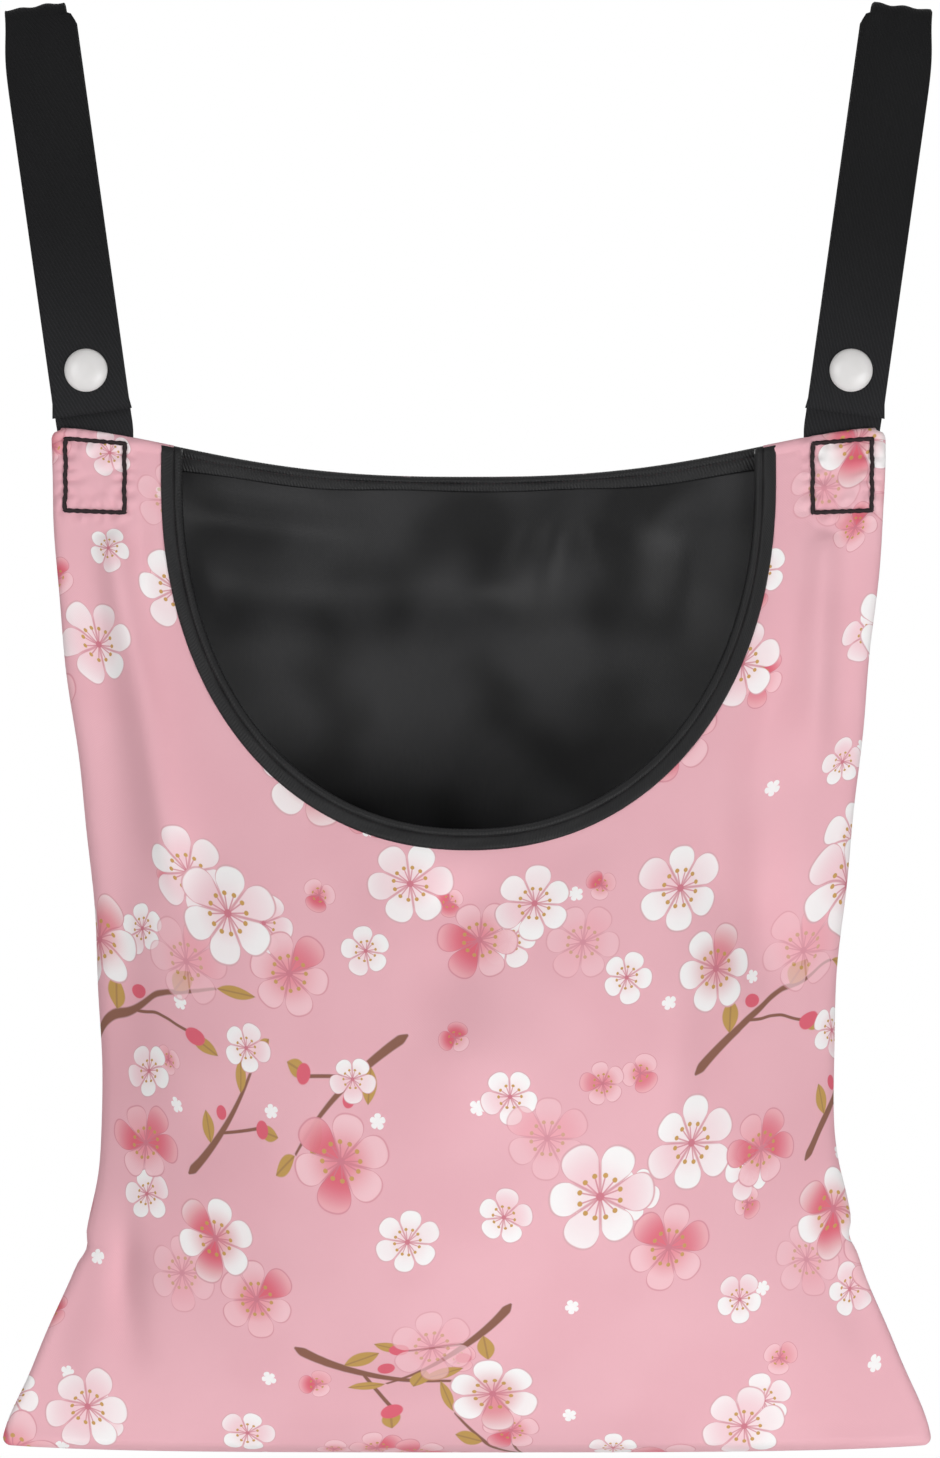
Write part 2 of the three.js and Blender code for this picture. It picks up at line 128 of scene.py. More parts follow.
class Wire:
    # an output whose sums and products lay math nodes
    def __init__(self, bench, socket):
        self.bench = bench
        self.socket = socket

    def math(self, operation, *values):
        return self.bench.math(operation, self, *values)

    def __add__(self, other):
        return self.math("ADD", other)

    def __sub__(self, other):
        return self.math("SUBTRACT", other)

    def __rsub__(self, other):
        return self.bench.math("SUBTRACT", other, self)

    def __mul__(self, other):
        return self.math("MULTIPLY", other)

    def __pow__(self, other):
        return self.math("POWER", other)

    def __abs__(self):
        return self.math("ABSOLUTE")

    def mulAdd(self, factor, extra):
        return self.math("MULTIPLY_ADD", factor, extra)

    def peak(self, other):
        return self.math("MAXIMUM", other)

    def fade(self, low, high):
        return self.bench.lay("MapRange", (self, low, high), interpolation_type="SMOOTHSTEP")[0]


class NodeBench:
    # short ways to lay nodes in one tree
    def __init__(self, tree):
        self.tree = tree

    def put(self, value, socket):
        value = getattr(value, "socket", value)
        if isinstance(value, bpy.types.NodeSocket):
            self.tree.links.new(value, socket)
        else:
            socket.default_value = value

    def add(self, kind, **settings):
        node = self.tree.nodes.new("ShaderNode" + kind)
        for key, value in settings.items():
            setattr(node, key, value)
        return node

    def lay(self, kind, values, **settings):
        # values is a row for the first inputs, or a dictionary of inputs
        node = self.add(kind, **settings)
        named = values.items() if isinstance(values, dict) else enumerate(values)
        for key, value in named:
            self.put(value, node.inputs[key])
        return [Wire(self, socket) for socket in node.outputs]

    def math(self, operation, *values):
        return self.lay("Math", values, operation=operation)[0]

    def vector(self, operation, *values):
        return self.lay("VectorMath", values, operation=operation)[1 if operation == "LENGTH" else 0]

    def blend(self, share, first, second):
        return self.lay("Mix", {0: share, 6: first, 7: second}, data_type="RGBA")[2]

    def split(self, vector):
        return self.lay("SeparateXYZ", (vector,))

    def noise(self, place, scale, detail=2.0):
        return self.lay("TexNoise", {"Vector": place, "Scale": scale, "Detail": detail})[0]

    def group(self, tree, **values):
        return self.lay("Group", values, node_tree=tree)

    def clothPlace(self):
        # place on the flat cloth, in millimetres
        return self.vector("MULTIPLY", self.add("UVMap", uv_map="flat").outputs[0], (flatUnit, flatUnit, 0))

    def solidPlace(self):
        return self.vector("MULTIPLY", self.add("TexCoord").outputs["Object"], (1 / mm, 1 / mm, 1 / mm))

    def wear(self, shader, color, rough):
        self.put(color, shader.inputs["Base Color"])
        self.put(rough, shader.inputs["Roughness"])

    def bump(self, shader, height, strength, distance):
        wire = self.lay("Bump", {"Strength": strength, "Distance": distance, "Height": height})[0]
        self.put(wire, shader.inputs["Normal"])

    def seen(self):
        # 1 for rays that show a thing, 0 for those that only light it
        rays = self.add("LightPath").outputs
        direct = self.math("MAXIMUM", rays["Is Camera Ray"], rays["Is Glossy Ray"])
        return direct.peak(rays["Is Transmission Ray"])


vectorSockets = "Place Near Centre Seed".split()
colorSockets = "Color Ground Deep Rim Heart OtherRim OtherHeart Line Anther Stem Leaf Bud".split()


def makeGroup(name, draw, inputs, outputs="Color"):
    # group whose outputs are what draw gives for its inputs
    tree = bpy.data.node_groups.new(name, "ShaderNodeTree")
    for way, keys in (("INPUT", inputs), ("OUTPUT", outputs)):
        for key in keys.split():
            kind = "Vector" if key in vectorSockets else "Color" if key in colorSockets else "Float"
            tree.interface.new_socket(key, in_out=way, socket_type="NodeSocket" + kind)
    bench = NodeBench(tree)
    start = Sizes({s.name: Wire(bench, s) for s in tree.nodes.new("NodeGroupInput").outputs})
    end = tree.nodes.new("NodeGroupOutput").inputs
    for wire, socket in zip(draw(bench, start), end):
        bench.put(wire, socket)
    return tree


def newMaterial(name, **fixed):
    made = bpy.data.materials.new(name)
    made.use_nodes = True
    shader = made.node_tree.nodes["Principled BSDF"]
    for key, value in fixed.items():
        shader.inputs[key.replace("_", " ")].default_value = value
    return made, NodeBench(made.node_tree), shader


def makeWorld():
    world = bpy.data.worlds.new("paleRoom")
    world.use_nodes = True
    scene.world = world
    bench = NodeBench(world.node_tree)
    color = bench.blend(bench.seen(), grey(studio.ambient), grey(1))
    bench.put(color, world.node_tree.nodes["Background"].inputs["Color"])


def makeFloor():
    made, bench, shader = newMaterial("paleFloor", Roughness=0.9, Specular_IOR_Level=0.1)
    place = bench.add("TexCoord").outputs["Object"]
    flat = bench.vector("MULTIPLY", place, (1, 1, 0))
    grain = bench.noise(place, studio.floorGrain)
    bench.put(bench.blend(grain, *map(grey, studio.floorTones)), shader.inputs["Base Color"])
    seen = bench.seen()
    far = bench.vector("LENGTH", flat).fade(studio.paleFrom, studio.paleTo)
    glow = bench.lay("Emission", ())[0]
    mixed = bench.lay("MixShader", (seen * far, shader.outputs[0], glow))[0]
    bench.put(mixed, made.node_tree.nodes["Material Output"].inputs["Surface"])
    bm = bmesh.new()
    bmesh.ops.create_circle(bm, cap_ends=True, segments=studio.floorSegments, radius=studio.floorRadius,
                            matrix=Matrix.Translation((0, 0, studio.floorLevel)))
    newPiece("paleFloor", bm, made)


makeCamera()
for lampName in ("key", "fill", "top", "back"):
    makeLamp(lampName)
makeWorld()
makeFloor()
scene.view_settings.view_transform = "Standard"
print("studio ready")


# finishes that more than one material uses

def drawWeave(bench, start):
    # threads that cross: plain cloth at Slant 0, slanted ribs at Slant 1. Place is in millimetres
    turn = bench.vector("ADD", bench.math("DIVIDE", 2 * math.pi, start.Pitch), (0, 0, 0))
    across, along, _ = bench.split(bench.vector("MULTIPLY", start.Place, turn))
    plain = across.math("SINE") * along.math("SINE")
    ribs = across.mulAdd(0.92, along * 0.38).math("SINE")
    ribs = (along * 2.3).math("SINE").mulAdd(0.25, ribs)
    height = (ribs - plain).mulAdd(start.Slant, plain).mulAdd(0.5, 0.5)
    slub = bench.noise(bench.vector("MULTIPLY", start.Place, (0.9, 0.12, 0.9)), 1.3, 3.0)
    return height, slub.mulAdd(0.6, height * 0.4)


# slow uneven tone: where the lining uses it, a painted sheen of broad darker and lighter patches; on the
# other cloths, tone that differs at random
def drawMottleAndSheen(bench, start):
    # slow uneven tone, as cloth has after handling
    share = bench.noise(start.Place, 0.026, 1.0).fade(0.36, 0.68) * start.Amount
    return [bench.blend(share, start.Ground, start.Deep)]


def drawBlossom(bench, start):
    # one drawn flower on its own place, where 1 is the tip of a petal
    reach = bench.vector("LENGTH", start.Near)
    x, y, _ = bench.split(start.Near)
    angle = bench.math("ARCTAN2", y, x) + start.Turn
    sector = angle * start.Petals.math("DIVIDE", 2 * math.pi)
    petal = sector.math("FLOOR").math("FLOORED_MODULO", start.Petals)
    luck = bench.lay("TexWhiteNoise", {"W": start.Turn.mulAdd(7.3, petal)}, noise_dimensions="1D")[0]
    side = abs(sector.math("FRACT") - 0.5) * 2.0
    arch = (1.0 - side ** 2.6) ** 0.45
    outer = arch.mulAdd(0.58, 0.38) * luck.mulAdd(0.15, 0.89)
    margin = outer - reach
    cover = margin.fade(-0.012, 0.018)
    edgeLine = margin.fade(0.05, 0.02)
    gapLine = ((1.0 - side) * reach).fade(0.075, 0.02)
    deep = reach.fade(0.8, 0.1) * luck.mulAdd(0.5, 0.45)
    flush = luck.fade(0.45, 0.85) * reach.fade(1.3, 0.35)
    color = bench.blend(deep.peak(flush), start.Rim, start.Heart)
    color = bench.blend(edgeLine.peak(gapLine) * 0.7, color, start.Line)
    thin = abs((sector * 2.0).math("FRACT") - 0.5) * reach
    filament = thin.fade(0.036, 0.016) * reach.fade(0.36, 0.31)
    color = bench.blend(filament * 0.75, color, start.Line)
    tip = (reach - 0.36) ** 2.0 + (thin * 0.5) ** 2.0
    color = bench.blend(tip.fade(0.0024, 0.0012), color, start.Anther)
    color = bench.blend(reach.fade(0.085, 0.06), color, start.Line)
    return [bench.blend(cover * start.Strength, start.Ground, color)]


def placeAfter(bench, start):
    # place on the cloth, linked so that a mark is worked out after those below it
    return bench.vector("MULTIPLY_ADD", start.Ground, (1e-9, 1e-9, 0), start.Place)


def placeOnMark(bench, start):
    # place on a mark that repeats with the cloth, where 1 is the mark's size
    half = (printedCloth.repeatWide / 2, printedCloth.repeatHigh / 2, 1)
    near = bench.vector("SUBTRACT", placeAfter(bench, start), start.Centre)
    near = bench.vector("WRAP", near, half, [-n for n in half])
    return bench.vector("DIVIDE", near, start.Size)


def drawBlossomMark(bench, start):
    # one printed flower. Centre and Size are in millimetres
    near = placeOnMark(bench, start)
    passed = {key: start[key] for key in flowerInputs.split()}
    return bench.group(blossomFace, Near=near, **passed)


def drawSprigMark(bench, start):
    # a bent stem with a side twig, four leaves and two buds. Size is the stem's length
    near = {"Vector": placeOnMark(bench, start), "Angle": start.Turn}
    x, y, _ = bench.split(bench.lay("VectorRotate", near, rotation_type="Z_AXIS")[0])
    lift = y - x * x * start.Bend
    width = x.mulAdd(-0.024, 0.032) * x.fade(-0.03, 0.06)
    stem = (abs(lift) - width).fade(0.006, -0.006)
    stem = stem * (x.fade(-0.01, 0.0) * x.fade(1.0, 0.99))
    twig = abs((x - 0.42).mulAdd(0.85, lift)).fade(0.018, 0.008)
    twig = twig * (x.fade(0.41, 0.43) * x.fade(0.70, 0.69))
    color = bench.blend(stem.peak(twig), start.Ground, start.Stem)
    for leafX, leafLift, lean, length, breadth in printedCloth.leaves:
        dx, dy = x - leafX, lift - leafLift
        along = dy.mulAdd(math.sin(lean), dx * math.cos(lean))
        off = dy.mulAdd(math.cos(lean), dx * -math.sin(lean))
        belly = along.mulAdd(2 / length, -1.0)
        belly = (belly * belly).mulAdd(-breadth, breadth)
        cover = (abs(off) - belly).fade(0.004, -0.006)
        leaf = bench.blend(abs(off).fade(0.008, 0.003) * 0.45, start.Leaf, start.Stem)
        color = bench.blend(cover, color, leaf)
    for budX, budLift, radius in printedCloth.buds:
        gap = (x - budX) ** 2.0 + (lift - budLift) ** 2.0
        color = bench.blend(gap.fade(radius ** 2 * 1.15, radius ** 2 * 0.8), color, start.Bud)
    return [color]


def drawScatter(bench, start):
    # loose flowers, at most one in each cell of a grid, in either of two colours
    grid = bench.vector("ADD", bench.vector("DIVIDE", placeAfter(bench, start), start.Cell), start.Seed)
    home = bench.vector("ADD", bench.vector("FLOOR", grid), start.Seed)
    home = bench.vector("MULTIPLY", home, (1, 1, 0))
    luck, lucks = bench.lay("TexWhiteNoise", {"Vector": home}, noise_dimensions="3D")
    otherLuck = bench.split(lucks)[2]
    jitter = bench.vector("MULTIPLY_ADD", lucks, (0.46, 0.46, 0), (0.27, 0.27, 0))
    near = bench.vector("SUBTRACT", bench.vector("FRACTION", grid), jitter)
    near = bench.vector("MULTIPLY", near, bench.vector("MULTIPLY", start.Cell, (1, 1, 0)))
    near = bench.vector("DIVIDE", near, start.Size * luck.mulAdd(0.35, 0.8))
    other = otherLuck.math("LESS_THAN", start.Other)
    return bench.group(
        blossomFace, Near=near, Ground=start.Ground, Turn=luck * 40.0, Petals=start.Petals,
        Strength=luck.math("LESS_THAN", start.Chance), Rim=bench.blend(other, start.Rim, start.OtherRim),
        Heart=bench.blend(other, start.Heart, start.OtherHeart), Line=start.Line, Anther=start.Anther)


# printed cloth: lengths in millimetres, the shapes of leaves and buds as shares of their sprig
flowerInputs = "Ground Turn Petals Strength Rim Heart Line Anther"
printedCloth = Sizes(
    ground=tint(240, 185, 195), deep=tint(232, 173, 184), drift=0.35,
    white=tint(254, 251, 251), blush=tint(249, 212, 219), rose=tint(226, 104, 122),
    pale=tint(249, 204, 211), petal=tint(243, 166, 178), line=tint(212, 126, 141),
    anther=tint(206, 160, 92), stem=tint(142, 98, 82), leaf=tint(197, 157, 90),
    repeatWide=220.0, repeatHigh=260.0, petals=6.0, threadPitch=0.9,
    # rim, heart, strength
    kinds={"ghost": ("pale", "petal", 0.6), "rose": ("pale", "rose", 0.95),
           "mixed": ("white", "rose", 1.0), "white": ("white", "blush", 1.0)},
    # x, y, radius, turn, kind
    flowers=(
        (-98, 78, 16.0, 0.4, "ghost"), (26, 28, 15.0, 1.1, "ghost"), (-12, -44, 15.0, 2.0, "ghost"),
        (-60, 80, 16.0, 0.7, "rose"), (-42, 20, 18.0, 0.2, "rose"), (68, -12, 16.0, 2.4, "rose"),
        (68, -100, 17.0, 1.3, "rose"), (-82, 97, 19.0, 0.1, "white"), (86, 78, 17.0, 1.5, "mixed"),
        (44, 8, 20.0, 0.5, "white"), (8, -64, 17.0, 0.9, "mixed"), (-52, -112, 19.0, 1.8, "mixed"),
        (92, -80, 15.0, 0.3, "white"), (38, 92, 14.0, 1.7, "ghost"), (4, 94, 15.0, 0.6, "rose"),
        (22, 106, 14.0, 2.2, "white"), (-100, -26, 14.0, 0.9, "ghost"), (-72, -30, 15.0, 1.9, "rose"),
        (-88, -12, 16.0, 0.2, "mixed"), (-20, -6, 12.0, 1.2, "white"), (104, 14, 14.0, 2.7, "rose"),
        (-18, -96, 13.0, 0.8, "rose"),
    ),
    # loose flowers: cell, seed, size, petals, chance, share of the other colour, rim, heart
    loose={
        "dots": (34.0, (3.3, 8.1, 0), 3.2, 5.0, 0.36, 0.0, "white", "white"),
        "florets": (50.0, (0.4, 5.7, 0), 7.0, 3.0, 0.66, 1.0, "white", "blush"),
        "small": (42.0, (7.2, 1.6, 0), 10.5, 5.0, 0.64, 0.12, "white", "blush"),
        "large": (80.0, (2.6, 4.3, 0), 17.5, 6.0, 0.66, 0.3, "white", "blush"),
    },
    # x, y, length, turn, bend
    sprigs=((-20, 62, 54, 2.6, 0.3), (78, 44, 60, -0.7, -0.25), (-58, -46, 58, 0.5, 0.3),
            (38, -112, 56, 3.6, -0.3), (-98, 8, 48, 5.5, 0.25), (14, -28, 50, 2.2, -0.3)),
    # x, lift over the stem, lean, length, breadth
    leaves=((0.30, 0.02, 0.9, 0.21, 0.052), (0.68, -0.23, -1.1, 0.18, 0.046),
            (0.74, 0.01, 0.55, 0.20, 0.05), (1.0, 0.0, -0.35, 0.19, 0.045)),
    # x, lift over the stem, radius
    buds=((0.70, -0.255, 0.055), (0.52, 0.075, 0.045)),
)
weaveThreads = makeGroup("weaveThreads", drawWeave, "Place Pitch Slant", "Height Tone")
handledTone = makeGroup("handledTone", drawMottleAndSheen, "Place Ground Deep Amount")
blossomFace = makeGroup("blossomFace", drawBlossom, "Near " + flowerInputs)
blossomStamp = makeGroup("blossomStamp", drawBlossomMark, "Place Centre Size " + flowerInputs)
sprigStamp = makeGroup("sprigStamp", drawSprigMark, "Place Ground Centre Turn Size Bend Stem Leaf Bud")
flowerScatter = makeGroup(
    "flowerScatter", drawScatter,
    "Place Ground Cell Seed Size Petals Chance Other Rim Heart OtherRim OtherHeart Line Anther")


def makePrintedCloth():
    ink = printedCloth
    fixed = {"Specular_IOR_Level": 0.2, "Sheen_Weight": 0.06, "Sheen_Roughness": 0.4}
    made, bench, shader = newMaterial("printedCloth", **fixed)
    place = bench.clothPlace()
    color = ink.ground
    lines = {"Line": ink.line, "Anther": ink.anther}

    def mark(tree, **values):
        # the cloth so far with one more layer on it
        return bench.group(tree, Place=place, Ground=color, **values)[0]

    def scatter(kind):
        cell, seed, size, petals, chance, other, rim, heart = ink.loose[kind]
        drawn = dict.fromkeys(lines, ink[heart]) if kind == "dots" else lines
        return mark(flowerScatter, Cell=cell, Seed=seed, Size=size, Petals=petals, Chance=chance,
                    Other=other, Rim=ink[rim], Heart=ink[heart], OtherRim=ink.pale, OtherHeart=ink.rose,
                    **drawn)

    color = mark(handledTone, Deep=ink.deep, Amount=ink.drift)
    for kind in ("dots", "florets"):
        color = scatter(kind)
    for x, y, length, turn, bend in ink.sprigs:
        color = mark(sprigStamp, Centre=(x, y, 0), Turn=turn, Size=length, Bend=bend, Stem=ink.stem,
                     Leaf=ink.leaf, Bud=ink.rose)
    for kind in ("small", "large"):
        color = scatter(kind)
    for x, y, radius, turn, kind in ink.flowers:
        rim, heart, strength = ink.kinds[kind]
        color = mark(blossomStamp, Centre=(x, y, 0), Turn=turn, Size=radius, Petals=ink.petals,
                     Strength=strength, Rim=ink[rim], Heart=ink[heart], **lines)
    height, tone = bench.group(weaveThreads, Place=place, Pitch=ink.threadPitch, Slant=0.0)
    bench.wear(shader, color, tone.mulAdd(0.12, 0.60))
    bench.bump(shader, height, 0.12, 0.0002)
    return made


# black cloths: light and dark threads, deep tone of the slow drift and its share (a painted sheen on the
# lining), pitch of the threads in millimetres
blackCloths = {
    "liningSatin": Sizes(
        # painted sheen: the deep tone and full drift draw broad dark patches between lighter ones, as satin
        # catching the light
        light=tint(51, 51, 52), dark=tint(41, 41, 42), deep=tint(9, 9, 10), drift=1.0,
        pitch=0.7, slant=0.0, rough=0.34, bump=0.1, specular=0.16),
    "bindingTape": Sizes(
        light=tint(31, 31, 32), dark=tint(18, 18, 19), deep=tint(18, 18, 19), drift=0.4,
        pitch=1.0, slant=1.0, rough=0.34, bump=0.3, specular=0.2),
    "twillWebbing": Sizes(
        light=tint(31, 31, 32), dark=tint(16, 16, 17), deep=tint(16, 16, 17), drift=0.4,
        pitch=1.1, slant=1.0, rough=0.62, bump=0.7, specular=0.1,
        # painted light: greyer towards the lower end, between two heights in metres, most on the tops of the
        # threads
        rubbed=tint(46, 46, 48), rubbedFrom=-0.06, rubbedTo=-0.15),
}


def makeBlackCloth(name):
    cloth = blackCloths[name]
    made, bench, shader = newMaterial(name, Specular_IOR_Level=cloth.specular)
    place = bench.clothPlace()
    height, tone = bench.group(weaveThreads, Place=place, Pitch=cloth.pitch, Slant=cloth.slant)
    color = bench.blend(tone, cloth.dark, cloth.light)
    # slow drift towards the deep tone: a painted sheen on the lining, tone that differs at random on the
    # tape and webbing
    color = bench.group(handledTone, Place=place, Ground=color, Deep=cloth.deep, Amount=cloth.drift)[0]
    # painted light: the webbing is drawn greyer towards its lower end, as if that end caught more light,
    # most on the tops of the threads
    if "rubbed" in cloth:
        level = bench.split(bench.add("TexCoord").outputs["Object"])[2]
        rubbed = level.fade(cloth.rubbedFrom, cloth.rubbedTo) * height.mulAdd(0.5, 0.5)
        color = bench.blend(rubbed, color, cloth.rubbed)
    bench.wear(shader, color, tone.mulAdd(0.2, cloth.rough))
    bench.bump(shader, height, cloth.bump, 0.0003)
    return made


def makeThread():
    made, bench, shader = newMaterial("sewingThread", Specular_IOR_Level=0.25)
    plies = bench.noise(bench.solidPlace(), 3.5, 3.0)
    bench.wear(shader, bench.blend(plies, tint(16, 6, 9), tint(38, 22, 25)), plies.mulAdd(0.2, 0.5))
    return made


def makePearl():
    made, bench, shader = newMaterial("pearlPlastic", IOR=1.5, Specular_IOR_Level=0.5)
    place = bench.solidPlace()
    color = bench.blend(bench.noise(place, 0.16), tint(222, 220, 219), tint(236, 234, 233))
    grain = bench.noise(place, 2.2)
    bench.wear(shader, color, grain.mulAdd(0.12, 0.24))
    bench.bump(shader, grain, 0.04, 0.0002)
    return made


printedClothLook = makePrintedCloth()
liningLook, tapeLook, webbingLook = [makeBlackCloth(name) for name in blackCloths]
threadLook = makeThread()
pearlLook = makePearl()
print("finishes ready")


# pouch: lengths in millimetres. A drop is measured down from the top corners,
# u runs from -1 to 1 between the side seams, t from 0 to 1 down from the top edge
pouch = Sizes(
    height=341.0, topHalf=139.0, waistHalf=122.0, waistDrop=215.0, hemHalf=155.3, hemFlare=1.6,
    hemLift=2.3, topSag=16.0, sagBreadth=2.6, sagEase=1.9, frontDepth=48.0, backDepth=30.0,
    mouthBow=7.0, fullShare=0.68, topEase=1.3, bottomRound=0.6, cornerFlat=0.7,
    mouthHalf=94.8783, mouthDrop=132.0, mouthSide=16.0, mouthRound=2.15, mouthMean=105.0,
    mouthCut=2.2, tapeWidth=7.5, seamY=5.2, cornerZ=-139.6618, seamDepth=0.12, outerDepth=2.1,
    liningDepth=1.25, outerThick=0.6, liningThick=0.5, edgeRound=3.6, cornerRound=3.0,
    # uneven side edges: size, length and turn of each wave, then drop, breadth and size of each bump
    edgeWaves=((0.4, 21.0, 1.4), (0.25, 8.3, 2.0)), waveFrom=30.0, edgePower=10,
    edgeBumps=((260, 12, 1.2), (271, 3.5, -1.8), (316, 14, -1.5)), bumpShift=2.0,
    # soft folds: x and drop at each end, breadth, lift
    foldEase=18.0,
    frontFolds=(
        (-119, 34, -98, 148, 7.0, 5.2), (-132, 60, -118, 190, 9.0, -3.0), (-107, 20, -104, 58, 6.0, -4.4),
        (119, 30, 116, 108, 7.0, 3.4), (99, 60, 96, 190, 10.0, -4.4), (131, 34, 126, 100, 6.0, -2.2),
        (40, 126, 36, 195, 11.0, 2.0), (-6, 140, -4, 192, 15.0, -5.4), (-24, 146, -18, 200, 11.0, 1.6),
        (69, 182, 65, 228, 10.0, 3.2), (80, 140, 82, 172, 9.0, -3.0), (-98, 156, -94, 226, 15.0, 1.6),
        (97, 146, 96, 176, 11.0, -3.6), (-117, 262, -112, 302, 6.0, -3.8), (-104, 268, -72, 276, 9.0, -2.4),
        (137, 262, 116, 302, 8.0, -1.0), (-141, 285, -118, 326, 8.0, 1.4), (-16, 206, 28, 206, 22.0, 4.0),
        (20, 250, -30, 300, 18.0, 1.8), (128, 290, 112, 326, 9.0, 2.2), (-50, 318, 40, 322, 9.0, -1.4),
        (60, 312, 110, 318, 8.0, -1.2), (-36, 226, 14, 240, 16.0, -1.4),
    ),
    backFolds=(
        (-88, 24, -46, 26, 12.0, 6.0), (-88, 52, 14, 54, 12.0, -5.2), (4, 30, 8, 70, 22.0, -1.8),
        (26, 20, 17, 40, 3.2, 1.3), (31, 20, 27, 46, 2.8, -1.5), (36, 20, 46, 44, 3.2, 1.3),
        (43, 20, 58, 38, 3.6, -1.1), (74, 26, 72, 66, 11.0, 4.0), (62, 24, 58, 30, 13.0, 1.8),
        (36, 66, 60, 84, 15.0, 1.4), (10, 180, -20, 280, 20.0, 2.4), (-90, 100, -96, 260, 12.0, -3.0),
        (95, 100, 98, 250, 12.0, -3.0), (-46, 140, -58, 210, 14.0, 2.2), (52, 150, 44, 230, 15.0, -2.2),
        (-110, 264, -70, 300, 9.0, -2.6), (104, 270, 66, 306, 9.0, -2.4),
    ),
)
# where sewing holds the cloth: distances from seams, tape and hem, and the shoulders with the webbing ends
sewing = Sizes(
    ease=16.0, seam=3.0, tape=2.0, hem=9.0,
    shoulderX=106.0, shoulderEase=6.0, shoulderDrop=40.0, dropEase=14.0,
)


def smooth(value):
    value = np.clip(value, 0, 1)
    return value * value * (3 - 2 * value)


def ridge(gap, height, middle, breadth):
    return height * np.exp(-((gap - middle) / breadth) ** 2)


def halfWidthAt(drop):
    above = pouch.topHalf + (pouch.waistHalf - pouch.topHalf) * smooth(drop / pouch.waistDrop)
    flare = np.maximum(drop - pouch.waistDrop, 0) / (pouch.height - pouch.waistDrop)
    return above + (pouch.hemHalf - pouch.waistHalf) * smooth(flare ** pouch.hemFlare)


def topDropAt(u):
    return pouch.topSag * np.maximum(0, 1 - np.abs(u) ** pouch.sagBreadth) ** pouch.sagEase


def hemDropAt(u):
    return pouch.height - pouch.hemLift * u ** 4


def dropAt(u, t):
    top = topDropAt(u)
    return top + (hemDropAt(u) - top) * t


def edgeGap(u, drop):
    # distance from the nearest side seam or the hem
    return np.minimum((1 - np.abs(u)) * halfWidthAt(drop), hemDropAt(u) - drop)


def acrossAt(u, drop):
    # x on the cloth, with rounded corners and a slightly uneven side edge
    side = np.sign(u)
    waver = sum(size * np.sin(drop / length + turn * side) for size, length, turn in pouch.edgeWaves)
    for middle, breadth, size in pouch.edgeBumps:
        waver = waver + ridge(drop + pouch.bumpShift * side, size, middle, breadth)
    near = np.clip(np.minimum(drop, hemDropAt(u) - drop) / pouch.cornerRound, 0, 1)
    corner = pouch.cornerRound * (1 - np.sqrt(1 - (1 - near) ** 2))
    uneven = (waver * smooth(drop / pouch.waveFrom) - corner) * np.abs(u) ** pouch.edgePower
    return u * (halfWidthAt(drop) + uneven)


def swellAt(side, u, drop):
    share = np.clip(drop / hemDropAt(u), 0, 1)
    above = np.sin(np.pi / 2 * np.minimum(share / pouch.fullShare, 1) ** pouch.topEase)
    below = np.maximum(share - pouch.fullShare, 0) / (1 - pouch.fullShare)
    swell = above * (1 - below ** 2) ** pouch.bottomRound
    fall = np.maximum(1 - u * u, 0) ** (1 + pouch.cornerFlat * smooth(below))
    if side < 0:
        return pouch.frontDepth * swell * fall
    bow = pouch.mouthBow * (1 - drop / pouch.height) ** 2
    return (pouch.backDepth * swell + bow) * fall


def foldLift(folds, x, drop):
    total = np.zeros(np.broadcast(x, drop).shape)
    ease = pouch.foldEase
    for x0, d0, x1, d1, breadth, lift in folds:
        run = math.hypot(x1 - x0, d1 - d0)
        ax, ad = (x1 - x0) / run, (d1 - d0) / run
        along = (x - x0) * ax + (drop - d0) * ad
        off = (drop - d0) * ax - (x - x0) * ad
        ends = smooth((along + ease) / (2 * ease)) * smooth((run - along + ease) / (2 * ease))
        total = total + ridge(off, lift, 0, breadth) * ends
    return total


def mouthGap(x, drop, grow):
    # about how far a place lies outside the line that is grow outside the cut mouth, below 0 in the opening
    half, lowest, power = pouch.mouthHalf + grow, pouch.mouthDrop + grow, pouch.mouthRound
    below = np.maximum(drop - pouch.mouthSide, 0) / (lowest - pouch.mouthSide)
    return (((np.abs(x) / half) ** power + below ** power) ** (1 / power) - 1) * pouch.mouthMean


def settledFade(side, x, drop, u):
    # 0 where sewing holds the cloth, 1 where it is free
    ease = sewing.ease
    free = smooth((edgeGap(u, drop) - sewing.seam) / ease)
    shoulder = np.maximum(np.abs(x) - sewing.shoulderX, 0) / sewing.shoulderEase
    shoulder = shoulder * smooth((sewing.shoulderDrop - drop) / sewing.dropEase)
    free = free * (1 - np.clip(shoulder, 0, 1))
    if side < 0:
        return free * smooth((mouthGap(x, drop, pouch.tapeWidth) - sewing.tape) / ease)
    return free * smooth((drop - topDropAt(u) - sewing.hem) / ease)


# how far the settled cloth moved, for each side, once it has settled
clothShift = {}


def sampleShift(side, u, t):
    # smooth look-up of that move
    if side not in clothShift:
        return np.zeros(np.broadcast(u, t).shape + (3,))
    field = clothShift[side]
    rows, columns = field.shape[:2]
    col = np.clip((u + 1) / 2 * (columns - 1), 0, columns - 1.001)
    row = np.clip(t * (rows - 1), 0, rows - 1.001)
    c0, r0 = np.floor(col).astype(int), np.floor(row).astype(int)
    fc, fr = (col - c0)[..., None], (row - r0)[..., None]

    def weights(f):
        return (-0.5 * f ** 3 + f ** 2 - 0.5 * f, 1.5 * f ** 3 - 2.5 * f ** 2 + 1,
                -1.5 * f ** 3 + 2 * f ** 2 + 0.5 * f, 0.5 * f ** 3 - 0.5 * f ** 2)

    total = 0
    for i, wr in enumerate(weights(fr)):
        rr = np.clip(r0 + i - 1, 0, rows - 1)
        for j, wc in enumerate(weights(fc)):
            total = total + wr * wc * field[rr, np.clip(c0 + j - 1, 0, columns - 1)]
    return total


